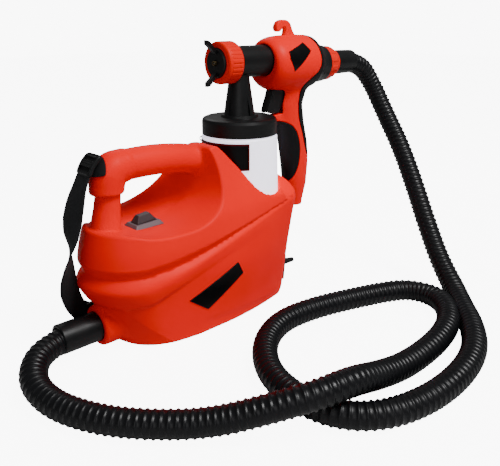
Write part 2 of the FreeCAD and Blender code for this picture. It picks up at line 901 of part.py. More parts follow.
def make_turbine():
    axis = S.motor_axis_height
    front, rear, wall = S.case_front_x, S.case_rear_x, S.case_wall
    case = turned_x(
        "turbine_case",
        [(front, 0), (front, S.case_radius), (rear, S.case_radius), (rear, S.case_radius - wall),
         (front + wall, S.case_radius - wall), (front + wall, 0)],
        axis,
    )
    port = draw_circle(new_sketch(case, "YZ_Plane"), 0, S.outlet_height - axis, S.duct_bore)
    bind(port, ".AttachmentOffset.Base.z", front - 1)
    pocket(case, port, wall + 2, reverse=True)

    cover = turned_x(
        "turbine_cover",
        [(rear, S.inlet_radius), (rear, S.case_radius), (rear + S.cover_thickness, S.case_radius),
         (rear + S.cover_thickness, S.skirt_radius), (S.stator_front_x, S.skirt_radius),
         (S.stator_front_x, S.skirt_radius - wall), (rear + S.cover_thickness, S.skirt_radius - wall),
         (rear + S.cover_thickness, S.inlet_radius)],
        axis,
    )
    window = draw_polygon(
        new_sketch(cover, "XY_Plane"),
        box_points((rear + S.cover_thickness + S.stator_front_x) / 2, term(0), term(8.0), term(14.0)),
    )
    cut = pocket(cover, window, S.skirt_radius + 2, reverse=True)
    around(cover, cut, 6, "X_Axis")

    duct_front = S.collar_face_x + S.collar_depth + S.fit_gap
    turned_x(
        "outlet_duct",
        [(duct_front, S.duct_bore), (duct_front, S.duct_radius), (front, S.duct_radius), (front, S.duct_bore)],
        S.outlet_height,
    )
    turned_x(
        "diffuser_plate",
        [(S.diffuser_x, S.diffuser_hole), (S.diffuser_x, S.case_radius - wall - 0.1),
         (S.diffuser_x + S.diffuser_thickness, S.case_radius - wall - 0.1),
         (S.diffuser_x + S.diffuser_thickness, S.diffuser_hole)],
        axis,
    )


def make_fan(label, front, hub_rear):
    """An impeller: a back plate, a hub that reaches on behind it, and twelve straight vanes."""
    bore = S.shaft_radius + S.hub_gap
    back = front + S.fan_thickness
    hub = S.fan_hub_radius
    fan = turned_x(
        label,
        [(front, bore), (front, hub), (back - S.fan_plate, hub), (back - S.fan_plate, S.fan_radius),
         (back, S.fan_radius), (back, hub - 1), (hub_rear, hub - 1), (hub_rear, bore)],
        S.motor_axis_height,
    )
    vane = draw_polygon(
        new_sketch(fan, "XZ_Plane"),
        [(front + 2, S.fan_hub_radius - 1), (back - S.fan_plate, S.fan_hub_radius - 1),
         (back - S.fan_plate, S.fan_radius), (front + 5, S.fan_radius)],
    )
    around(fan, pad(fan, vane, S.vane_thickness, both_ways=True), 12, "X_Axis")


def make_rotor():
    axis = S.motor_axis_height
    make_fan("front_fan", S.front_fan_x, S.rear_fan_x)
    make_fan("rear_fan", S.rear_fan_x, S.rear_fan_x + S.fan_thickness + 1)
    radius = S.shaft_radius
    turned_x("motor_shaft", [(S.shaft_front_x, 0), (S.shaft_front_x, radius), (S.shaft_rear_x, radius),
                             (S.shaft_rear_x, 0)], axis)
    bore = radius + S.hub_gap
    nut = new_body("fan_nut")
    hexagon = new_sketch(nut, "YZ_Plane")
    corners = []
    for step in range(6):
        angle = math.radians(60 * step)
        corners.append((S.fan_nut_radius * math.cos(angle), S.fan_nut_radius * math.sin(angle)))
    draw_polygon(hexagon, corners)
    draw_circle(hexagon, 0, 0, bore)
    pad(nut, hexagon, S.fan_nut_height)
    place(nut, S.front_fan_x - S.fan_nut_height, 0.0, axis)
    armature = turned_x(
        "armature",
        [(S.armature_front_x, bore), (S.armature_front_x, S.armature_radius),
         (S.armature_rear_x, S.armature_radius), (S.armature_rear_x, S.commutator_radius - 3),
         (S.commutator_front_x, S.commutator_radius - 3), (S.commutator_front_x, S.commutator_radius),
         (S.commutator_rear_x, S.commutator_radius), (S.commutator_rear_x, bore)],
        axis,
    )
    slot = draw_polygon(
        new_sketch(armature, "YZ_Plane"), box_points(term(0), S.armature_radius, term(2.0), term(7.0))
    )
    bind(slot, ".AttachmentOffset.Base.z", S.armature_front_x - 1)
    cut = pocket(armature, slot, S.armature_rear_x - S.armature_front_x + 2, reverse=True)
    around(armature, cut, 12, "X_Axis")


def bearing(label, front):
    bore = S.shaft_radius + S.hub_gap
    turned_x(
        label,
        [(front, bore), (front, S.bearing_radius), (front + S.bearing_width, S.bearing_radius),
         (front + S.bearing_width, bore)],
        S.motor_axis_height,
    )


def make_motor():
    axis = S.motor_axis_height
    bearing("front_bearing", S.front_bearing_x)
    bearing("rear_bearing", S.rear_bearing_x)
    seat = S.bearing_radius + S.hub_gap
    front = S.front_bearing_x
    carrier = turned_x(
        "front_bearing_carrier",
        [(front, seat), (front, S.bearing_seat_radius), (front + S.bearing_width, S.bearing_seat_radius),
         (front + S.bearing_width, seat)],
        axis,
    )
    spoke = draw_polygon(
        new_sketch(carrier, "XZ_Plane"),
        [(front, S.bearing_seat_radius - 1), (front + S.bearing_width, S.bearing_seat_radius - 1),
         (front + S.bearing_width, S.skirt_radius - S.case_wall - S.fit_gap),
         (front, S.skirt_radius - S.case_wall - S.fit_gap)],
    )
    around(carrier, pad(carrier, spoke, term(3.0), both_ways=True), 3, "X_Axis")
    turned_x(
        "stator",
        [(S.stator_front_x, S.stator_bore), (S.stator_front_x, S.skirt_radius),
         (S.stator_rear_x, S.skirt_radius), (S.stator_rear_x, S.stator_bore)],
        axis,
    )
    wall = S.end_frame_wall
    rear = S.rear_bearing_x
    frame = turned_x(
        "motor_end_frame",
        [(S.stator_rear_x, S.skirt_radius - wall), (S.stator_rear_x, S.skirt_radius),
         (S.stator_rear_x + 14, S.skirt_radius), (rear + wall, S.bearing_seat_radius + wall),
         (rear + S.bearing_width, S.bearing_seat_radius), (rear + S.bearing_width, seat), (rear, seat),
         (rear, S.bearing_seat_radius), (S.stator_rear_x + 13, S.skirt_radius - wall)],
        axis,
    )
    window = draw_polygon(
        new_sketch(frame, "XZ_Plane"),
        box_points(S.stator_rear_x + 9, term(0), S.brush_width + 2 * S.hub_gap, S.brush_height + 2 * S.hub_gap),
    )
    pocket(frame, window, S.skirt_radius * 3, both_ways=True)
    brushes = []
    for side in (0, 1):
        brush = doc.addObject("Part::Box", "Brush")
        bind(brush, "Length", S.brush_width)
        bind(brush, "Width", S.skirt_radius - S.commutator_radius - S.hub_gap)
        bind(brush, "Height", S.brush_height)
        start = S.commutator_radius + S.hub_gap if side else -S.skirt_radius
        bind(brush, ".Placement.Base.x", S.stator_rear_x + 9 - S.brush_width / 2)
        bind(brush, ".Placement.Base.y", start)
        bind(brush, ".Placement.Base.z", S.motor_axis_height - S.brush_height / 2)
        brushes.append(brush)
    pair = doc.addObject("Part::Compound", "carbon_brushes")
    pair.Label = "carbon_brushes"
    pair.Links = brushes
    sub_parts.append(pair)
    place(pair)
    for label, x, width, inner in (
        ("front_rubber_mount", S.front_mount_x, S.front_mount_width, S.case_radius),
        ("rear_rubber_mount", S.rear_mount_x, S.rear_mount_width, S.skirt_radius),
    ):
        turned_x(
            label,
            [(x, inner), (x, inner + S.mount_thickness), (x + width, inner + S.mount_thickness), (x + width, inner)],
            axis,
        )


# Rear panel, filter and cord gland

def make_rear_panel():
    panel = new_body("rear_panel")
    half, high, rim = S.panel_width / 2, S.panel_height, S.panel_rim
    sheet_face = draw_polygon(new_sketch(panel, "YZ_Plane"), [(-half, 0), (half, 0), (half, high), (-half, high)])
    pad(panel, sheet_face, S.panel_thickness)
    inset = 4 * rim
    rim_outer = draw_polygon(
        new_sketch(panel, "YZ_Plane"),
        [(inset - half, 2 * rim), (half - inset, 2 * rim), (half - inset, high - 2 * rim), (inset - half, high - 2 * rim)],
    )
    bind(rim_outer, ".AttachmentOffset.Base.z", -S.panel_rim_depth)
    pad(panel, rim_outer, S.panel_rim_depth)
    rim_inner = draw_polygon(
        new_sketch(panel, "YZ_Plane"),
        [(inset + rim - half, 3 * rim), (half - inset - rim, 3 * rim), (half - inset - rim, high - 3 * rim),
         (inset + rim - half, high - 3 * rim)],
    )
    bind(rim_inner, ".AttachmentOffset.Base.z", -S.panel_rim_depth)
    pocket(panel, rim_inner, S.panel_rim_depth, reverse=True)
    slot = draw_polygon(
        new_sketch(panel, "YZ_Plane"), box_points(term(-12.0), high / 2, S.slot_width, high - 8 * rim)
    )
    cut = pocket(panel, slot, S.panel_thickness, reverse=True)
    row = panel.newObject("PartDesign::LinearPattern", "Slots")
    row.Originals = [cut]
    row.Direction = (origin_plane(panel, "Y_Axis"), [""])
    row.Occurrences = 8
    bind(row, "Length", S.slot_pitch * 7)
    panel.Tip = row
    gland_hole = draw_circle(new_sketch(panel, "YZ_Plane"), S.gland_y, S.gland_height, S.gland_radius + S.fit_gap)
    pocket(panel, gland_hole, S.panel_thickness, reverse=True)
    lean = Rotation(Vector(0, 1, 0), panel_lean())
    place(panel, panel_foot_x(), 0.0, S.panel_bottom, lean)

    low = 3 * SIZES["panel_rim"] + SIZES["fit_gap"]
    high = SIZES["panel_height"] - low
    half_foam = SIZES["panel_width"] / 2 - 5 * SIZES["panel_rim"] - SIZES["fit_gap"]
    front = -SIZES["fit_gap"] - SIZES["foam_thickness"]
    foam_block = block((front, -SIZES["gland_radius"] * 4, low), (-SIZES["fit_gap"], half_foam, high))
    foam_block.rotate(Vector(0, 0, 0), Vector(0, 1, 0), panel_lean())
    foam_block.translate(Vector(panel_foot_x(), 0, SIZES["panel_bottom"]))
    solid_feature("filter_foam", foam_block)

    gland = new_body("cord_gland")
    inner, length, radius = 8.0, S.gland_length, S.gland_radius
    revolution(
        gland,
        [(-inner, 0), (-inner, radius), (S.panel_thickness, radius), (S.panel_thickness, radius + 1.2),
         (S.panel_thickness + 3, radius + 1.2), (length, radius - 0.8), (length, 2.0), (length - 6, 2.0),
         (length - 6, 0)],
        "H_Axis",
    )
    rise = SIZES["gland_height"]
    offset = rise * math.sin(math.radians(panel_lean()))
    height = rise * math.cos(math.radians(panel_lean()))
    place(gland, panel_foot_x() + offset, S.gland_y, S.panel_bottom + height, lean)


# Hose

def hose_points():
    """The hose's route from inside the base cuff to inside the gun cuff, counted from the cup's axis."""
    out, tail = SIZES["outlet_height"], SIZES["tail_height"]
    return [
        (-250, 0, out),
        (-301, 0, out - 0.5),
        (-337, -36, 23),
        (-340, -84, 16.5),
        (-320, -137, 15.5),
        (-288, -180, 15.5),
        (-246, -222, 18),
        (-208, -262, 36),
        (-170, -290, 47.5),
        (-128, -298, 47.5),
        (-78, -295, 30),
        (-20, -292, 15.5),
        (46, -290, 15.5),
        (102, -277, 15.5),
        (142, -253, 15.5),
        (164, -221, 15.5),
        (156, -184, 15.5),
        (122, -165, 15.5),
        (72, -147, 15.5),
        (14, -129, 15.5),
        (-46, -124, 15.5),
        (-100, -148, 15.5),
        (-140, -194, 15.5),
        (-154, -246, 15.5),
        (-147, -295, 15.5),
        (-114, -328, 15.5),
        (-58, -344, 15.5),
        (8, -344, 15.5),
        (70, -329, 15.5),
        (122, -297, 15.5),
        (162, -262, 15.5),
        (198, -232, 18),
        (222, -192, 44),
        (244, -152, 88),
        (264, -112, 140),
        (281, -72, 190),
        (291, -32, 236),
        (289, -5, 280),
        (254, 0, tail),
        (203, 0, tail),
    ]


def hose_ring(route, distance, radius):
    """A circle square to the route whose starting point keeps to one side of it."""
    point, direction = route.at(distance)
    steady = Vector(0, 0, 1)
    if abs(direction.z) > 0.9:
        steady = Vector(-1, 0, 0)
    side = direction.cross(steady).normalize()
    circle = Part.Circle(point, direction, radius)
    circle.XAxis = side
    return Part.Wire(circle.toShape())


def skin_through(rings, span):
    """Ruled faces through a row of circles, made a span of circles at a time."""
    faces = []
    for start in range(0, len(rings) - 1, span):
        faces += Part.makeLoft(rings[start:start + span + 1], False, True).Faces
    return faces


def make_hose():
    """A ribbed hose with plain ends inside its two cuffs."""
    crest, valley, bore, count, share = value_of(
        "hose_radius", "hose_valley_radius", "hose_bore", "rib_count", "rib_width_share"
    )
    route = Route(hose_points())
    print("hose route", round(route.length, 1), "mm, radii", [round(r) for r in route.radii])
    first, last = SIZES["base_plain_length"], SIZES["gun_plain_length"]
    pitch = (route.length - first - last) / count
    rib = pitch * share
    straight = SIZES["cuffed_length"]
    outer = [hose_ring(route, distance, valley) for distance in (0.0, straight)]
    inner = [hose_ring(route, distance, bore) for distance in (0.0, straight)]
    for number in range(int(count)):
        start = first + number * pitch
        inner.append(hose_ring(route, start, bore))
        for share_along, radius in ((0.0, valley), (0.3, crest), (0.7, crest), (1.0, valley)):
            outer.append(hose_ring(route, start + rib * share_along, radius))
    for distance in (route.length - straight, route.length):
        outer.append(hose_ring(route, distance, valley))
        inner.append(hose_ring(route, distance, bore))
    ends = [Part.Face([outer[end], inner[end]]) for end in (0, -1)]
    hose = Part.Solid(Part.makeShell(skin_through(outer, 40) + skin_through(inner, 10) + ends))
    hose.fix(1e-6, 1e-6, 1e-6)
    smooth = math.pi * (valley ** 2 - bore ** 2) * route.length
    print("hose volume", round(hose.Volume), "without its ribs", round(smooth), "pitch", round(pitch, 2))
    solid_feature("air_hose", hose)


def make_cuff(label, start, length, radius, plain_start, plain_end, socket, height):
    """A cuff whose wide bore takes the hose's plain end and whose narrow bore takes a pipe."""
    end = start + length
    wide = S.hose_valley_radius + 0.8
    if plain_start.value == start.value:
        inner = [(end, socket), (plain_end, socket), (plain_end, wide), (start, wide)]
    else:
        inner = [(end, wide), (plain_start, wide), (plain_start, socket), (start, socket)]
    turned_x(
        label,
        [(start, radius - 1), (start + 1, radius), (end - 1, radius), (end, radius - 1)] + inner,
        height,
    )


def make_cuffs():
    end = S.collar_face_x + S.collar_depth
    start = end - S.base_cuff_length
    make_cuff("base_hose_cuff", start, S.base_cuff_length, S.base_cuff_radius, start,
              term(-250.0) + S.fit_gap, S.duct_bore, S.outlet_height)
    start = S.tail_front_x + S.tail_collar_length + S.swivel_length + 2 * S.fit_gap
    end = start + S.gun_cuff_length
    make_cuff("gun_hose_cuff", start, S.gun_cuff_length, S.gun_cuff_radius, term(203.0) - S.fit_gap,
              end, S.connector_tip_radius + 0.2, S.tail_height)


# Carrying strap

def strap_sections():
    """Points down the strap, each with the direction that its width lies in."""
    return [
        ((-238.0, 0, 209.4), (0, 1, 0)),
        ((-243.0, 0.5, 201.4), (0, 1, 0)),
        ((-249, 2, 190), (0.3, 1, 0)),
        ((-254, 5, 170), (0.5, 1, 0)),
        ((-257, 8, 150), (0.8, 1, 0.1)),
        ((-260, 11, 130), (1, 0.5, 0.2)),
        ((-264, 14, 110), (1, 0.1, 0.4)),
        ((-268, 17, 88), (0.9, -0.1, 0.5)),
        ((-268, 20, 68), (0.8, 0, 0.8)),
        ((-260, 24, 50), (0.5, 0, 0.9)),
        ((-247, 31.5, 40), (0.2, 0, 1)),
        ((-224, 30.95, 35), (0, 0, 1)),
    ]


def make_strap():
    half, thick = SIZES["strap_width"] / 2, SIZES["strap_thickness"] / 2
    sections = strap_sections()
    points = [Vector(*point) for point, _ in sections]
    wires = []
    for i, (_, width) in enumerate(sections):
        after = points[min(i + 1, len(points) - 1)]
        before = points[max(i - 1, 0)]
        along = (after - before).normalize()
        wide = Vector(*width)
        wide = (wide - along * wide.dot(along)).normalize()
        through = along.cross(wide)
        corners = []
        for a, b in ((-1, -1), (1, -1), (1, 1), (-1, 1)):
            corners.append(points[i] + wide * (half * a) + through * (thick * b))
        wires.append(Part.makePolygon(corners + corners[:1]))
    solid_feature("carrying_strap", Part.makeLoft(wires, True, True))

    radius, thickness = SIZES["head_radius"] + SIZES["fit_gap"], SIZES["strap_thickness"]
    post, high = SIZES["post_x"], SIZES["handle_height"]
    band = outline((radius, high - 16), (radius + thickness, high - 16), (radius + thickness, high + 4),
                   (radius, high + 4))
    loop = band.revolve(Vector(0, 0, 0), Vector(0, 0, 1), 180)
    loop.rotate(Vector(0, 0, 0), Vector(0, 0, 1), 90)
    loop.translate(Vector(post, 0, 0))
    solid_feature("strap_loop", loop)

    buckle = new_body("strap_buckle")
    width = S.strap_width + 5
    frame = draw_polygon(new_sketch(buckle, "XY_Plane"), box_points(term(0), term(0), S.buckle_length, width))
    pad(buckle, frame, S.buckle_thickness)
    for offset in (-8, 4):
        hole = draw_polygon(
            new_sketch(buckle, "XY_Plane"), box_points(term(offset), term(0), term(5.0), S.strap_width)
        )
        pocket(buckle, hole, S.buckle_thickness, reverse=True)
    lean = Rotation(Vector(0, 1, 0), -58)
    place(buckle, S.post_x - S.head_radius - 7.8, 0.0, S.handle_height - 5, lean)

    anchor = new_body("strap_anchor")
    plate = draw_polygon(
        new_sketch(anchor, "XZ_Plane"), box_points(term(0), term(0), S.anchor_length, S.strap_width + 4)
    )
    pad(anchor, plate, S.anchor_thickness)
    place(anchor, S.collar_face_x + 11, S.collar_radius + S.anchor_thickness, S.outlet_height + 4)


# Paint cup

def make_cup():
    top = S.lid_bottom + S.lid_height
    plate = top - S.lid_plate
    boss = top + S.lid_boss_height
    skirt = S.lid_radius - S.lid_wall
    turned_z(
        "cup_lid",
        [(S.lid_hole_radius, plate), (skirt, plate), (skirt, S.lid_bottom), (S.lid_radius, S.lid_bottom),
         (S.lid_radius, top - 5), (S.lid_radius - 1.5, top - 1.5), (S.lid_radius - 5, top),
         (S.lid_boss_radius + 1, top), (S.lid_boss_radius, boss), (S.lid_hole_radius, boss)],
    )
    mouth = S.cup_neck_radius
    turned_z(
        "lid_gasket",
        [(mouth - S.gasket_width, S.cup_mouth), (mouth, S.cup_mouth), (mouth, plate), (mouth - S.gasket_width, plate)],
    )
    wall, low = S.cup_wall, S.cup_bottom
    shoulder = S.lid_bottom - S.fit_gap
    turned_z(
        "paint_container",
        [(0, low), (S.cup_bottom_radius - 4, low), (S.cup_bottom_radius, low + 4), (S.cup_top_radius, shoulder - 3),
         (S.cup_top_radius - 2, shoulder), (mouth, shoulder), (mouth, S.cup_mouth), (mouth - wall, S.cup_mouth),
         (mouth - wall, shoulder - 2), (S.cup_top_radius - wall, shoulder - 5),
         (S.cup_bottom_radius - wall, low + 5), (S.cup_bottom_radius - wall - 3, low + wall), (0, low + wall)],
    )
    turned_z(
        "pickup_tube",
        [(S.pickup_bore, S.pickup_bottom), (S.pickup_radius, S.pickup_bottom), (S.pickup_radius, S.pickup_top),
         (S.pickup_bore, S.pickup_top)],
    )
    bottom_radius, top_radius = SIZES["cup_bottom_radius"], SIZES["cup_top_radius"]
    low_z = SIZES["cup_bottom"] + 4
    high_z = SIZES["lid_bottom"] - SIZES["fit_gap"] - 3

    def side_radius(height):
        return bottom_radius + (top_radius - bottom_radius) * (height - low_z) / (high_z - low_z)

    plate_top = SIZES["cup_plate_top"]
    plate_bottom = plate_top - SIZES["cup_plate_height"]
    thick, angle = SIZES["plate_thickness"], SIZES["cup_plate_angle"]
    face = outline(
        (side_radius(plate_bottom), plate_bottom),
        (side_radius(plate_bottom) + thick, plate_bottom),
        (side_radius(plate_top) + thick, plate_top),
        (side_radius(plate_top), plate_top),
    )
    label_plate = face.revolve(Vector(0, 0, 0), Vector(0, 0, 1), angle)
    label_plate.rotate(Vector(0, 0, 0), Vector(0, 0, 1), 180 - angle / 2)
    solid_feature("container_plate", label_plate)


# Spray barrel and nozzle set

def make_barrel():
    height, radius, wall = value_of("barrel_height", "barrel_radius", "barrel_wall")
    front, rear = value_of("barrel_front_x", "barrel_rear_x")
    lid_top = SIZES["lid_bottom"] + SIZES["lid_height"] + SIZES["lid_boss_height"]
    tube = cylinder(radius, rear - front, (front, 0, height), (1, 0, 0))
    neck = Part.makeCone(
        SIZES["neck_bottom_radius"], SIZES["neck_top_radius"], height - radius * 0.8 - lid_top, Vector(0, 0, lid_top)
    )
    foot, thick = value_of("neck_rib_foot", "neck_rib_thickness")
    crown = SIZES["neck_rib_crown"]
    fin = outline(
        (-foot, lid_top), (foot, lid_top), (crown, height - radius * 1.4), (crown, height - radius * 0.6),
        (-crown, height - radius * 0.6), (-crown, height - radius * 1.4),
    )
    fin_along = across(fin, -thick / 2, thick / 2)
    fin_across = fin_along.copy()
    fin_across.rotate(Vector(0, 0, 0), Vector(0, 0, 1), 90)
    fin_across = fin_across.common(cylinder(SIZES["neck_bottom_radius"] + 1.5, 120, (0, 0, lid_top), (0, 0, 1)))
    outside = tube.fuse(neck).fuse(fin_along).fuse(fin_across)
    web, web_thick = value_of("web_x", "web_thickness")
    inner = radius - wall
    front_hollow = cylinder(inner, web - front, (front, 0, height), (1, 0, 0))
    rear_hollow = cylinder(inner, rear - web - web_thick, (web + web_thick, 0, height), (1, 0, 0))
    barrel = outside.cut(front_hollow).cut(rear_hollow)
    fluid, bore = value_of("fluid_tube_radius", "fluid_bore")
    hole = SIZES["lid_hole_radius"] - SIZES["fit_gap"]
    barrel = barrel.fuse(cylinder(fluid, rear - front - 4, (front + 4, 0, height), (1, 0, 0)))
    barrel = barrel.fuse(cylinder(fluid, height - lid_top, (0, 0, lid_top), (0, 0, 1)))
    nipple_bottom = SIZES["cup_mouth"] - 4
    barrel = barrel.fuse(cylinder(hole, lid_top - nipple_bottom, (0, 0, nipple_bottom), (0, 0, 1)))
    barrel = barrel.cut(cylinder(bore, rear - front, (front, 0, height), (1, 0, 0)))
    pickup = SIZES["pickup_radius"] + SIZES["hub_gap"]
    barrel = barrel.cut(cylinder(pickup, SIZES["pickup_top"] - nipple_bottom, (0, 0, nipple_bottom), (0, 0, 1)))
    barrel = barrel.cut(cylinder(SIZES["pickup_bore"], height - nipple_bottom, (0, 0, nipple_bottom), (0, 0, 1)))
    packing = SIZES["packing_radius"] + SIZES["hub_gap"]
    barrel = barrel.cut(cylinder(packing, 6, (rear - 6, 0, height), (1, 0, 0)))
    for step in range(6):
        angle = math.radians(60 * step + 30)
        y = SIZES["web_hole_circle"] * math.cos(angle)
        z = height + SIZES["web_hole_circle"] * math.sin(angle)
        barrel = barrel.cut(cylinder(SIZES["web_hole_radius"], web_thick + 2, (web - 1, y, z), (1, 0, 0)))
    solid_feature("spray_barrel", barrel.removeSplitter())

    turned_x(
        "needle_packing",
        [(S.barrel_rear_x - 6, S.needle_radius + 0.05), (S.barrel_rear_x - 6, S.packing_radius),
         (S.barrel_rear_x, S.packing_radius), (S.barrel_rear_x, S.needle_radius + 0.05)],
        S.barrel_height,
    )


def make_nozzle_set():
    axis = S.barrel_height
    tube_front = S.barrel_front_x + 4
    tip = S.nut_front_x - 5
    turned_x(
        "fluid_nozzle",
        [(tip, S.needle_radius + 0.06), (tip, S.nozzle_tip_radius), (tip + 7, S.nozzle_tip_radius),
         (tip + 10.5, S.nozzle_radius), (tube_front, S.nozzle_radius), (tube_front, S.fluid_bore),
         (tip + 9, S.fluid_bore), (tip + 5, S.needle_radius + 0.06)],
        axis,
    )
    needle_front = tip + 0.5
    collar = S.trigger_pin_x + 6.8
    turned_x(
        "needle",
        [(needle_front, 0), (needle_front + 2, S.needle_radius), (collar, S.needle_radius), (collar, 2.5),
         (collar + 2.2, 4.2), (collar + 5.2, 4.2), (collar + 5.2, S.needle_radius),
         (S.needle_rear_x, S.needle_radius), (S.needle_rear_x, 0)],
        axis,
    )
    flange_rear = S.barrel_front_x - S.fit_gap
    flange_front = S.nut_front_x + S.nut_lip + S.fit_gap
    face = S.nut_front_x - 2
    cap = turned_x(
        "air_cap",
        [(face, S.air_cap_hole), (face, S.air_cap_radius - 1.5), (face + 1.5, S.air_cap_radius),
         (flange_front, S.air_cap_radius), (flange_front, S.air_cap_flange_radius),
         (flange_rear, S.air_cap_flange_radius), (flange_rear, S.nozzle_radius + 5),
         (face + 3.5, S.nozzle_radius + 1), (face + 3.5, S.air_cap_hole)],
        axis,
    )
    for side in (1, -1):
        horn = draw_polygon(
            new_sketch(cap, "XZ_Plane"),
            [(face + 1, side * (S.air_cap_radius - 8)), (face - 15, side * (S.air_cap_radius + 5)),
             (face - 15, side * (S.air_cap_radius + 10)), (face - 11, side * (S.air_cap_radius + 9)),
             (face - 0.5, side * (S.air_cap_radius - 1)), (face + 1, side * (S.air_cap_radius - 2))],
        )
        pad(cap, horn, S.horn_width, both_ways=True)

    front, rear = S.nut_front_x, S.nut_front_x + S.nut_length
    inner = S.barrel_radius + S.fit_gap
    nut = turned_x(
        "lock_nut",
        [(front, S.nut_lip_bore), (front, S.nut_radius - 3), (front + 3, S.nut_radius - 0.5),
         (front + 5, S.nut_radius - 0.5), (front + 5.5, S.nut_radius), (rear - 1.5, S.nut_radius),
         (rear, S.nut_radius - 1.5), (rear, inner), (front + S.nut_lip, inner), (front + S.nut_lip, S.nut_lip_bore)],
        axis,
    )
    rib = draw_polygon(
        new_sketch(nut, "XY_Plane"),
        box_points((front + rear) / 2 + 2, S.nut_radius, S.nut_length - 10, 2 * S.nut_rib_depth),
    )
    cut = pocket(nut, rib, term(2.2), both_ways=True)
    around(nut, cut, SIZES["nut_rib_count"], "X_Axis")


# Gun body

def head_solid(inset):
    """The gun's rounded head about its own axis, drawn in by an inset."""
    rear = SIZES["tail_front_x"]
    z = SIZES["head_height"]
    face = outline(
        (43 + inset, z),
        (43 + inset, z + 26 - inset),
        (48 + inset * 0.8, z + 32 - inset, 62, z + 35.5 - inset),
        (95, z + 37 - inset, 128, z + 33.5 - inset),
        (141, z + 30.5 - inset, rear - inset, z + 25.2 - inset),
        (rear - inset, z),
    )
    return turned_shape(face, z)


def grip_stations():
    """Heights down the grip with its front, its back and its half width there."""
    return [
        (300, 66, 146, 21),
        (284, 80, 141, 19),
        (264, 77, 124, 17),
        (238, 76, 126, 17),
        (208, 82, 133, 18),
        (178, 88, 137, 18),
        (146, 93, 134, 17),
        (114, 96, 127, 15),
    ]


def grip_solid(inset):
    """The grip as a loft through ovals, drawn in by an inset."""
    rings = []
    for height, front, back, half in grip_stations():
        z = height + inset if height == 114 else height
        oval = Part.Ellipse(Vector((front + back) / 2, 0, z), (back - front) / 2 - inset, half - inset)
        rings.append(Part.Wire(oval.toShape()))
    return Part.makeLoft(rings, True, False)


def hook_solid():
    half = SIZES["hook_thickness"] / 2
    face = outline(
        (82, 352),
        (84, 362),
        (84.5, 368, 79, 369),
        (74, 368.5, 74, 364),
        (70, 362.5, 66, 365),
        (67, 373.5, 77, 376),
        (90, 377.5, 94, 370),
        (99, 362, 109, 354),
        (109, 350),
        (82, 350),
    )
    return across(face, -half, half)


def gun_boss_places():
    return [(132, 342), (63, 350), (110, 262), (118, 200), (112, 130)]


def pad_region():
    """The side view of the soft pad on the front of the grip."""
    return across(
        outline((40, 243), (62, 243), (98, 236, 106, 200), (108, 170, 92, 150), (40, 150)), -60, 60
    )


def strip_region():
    """The side view of the dark strip down the back of the grip."""
    return across(
        outline((151, 296), (138, 284), (112, 268, 118, 240), (128, 205, 141, 182), (170, 182), (170, 300)), -60, 60
    )


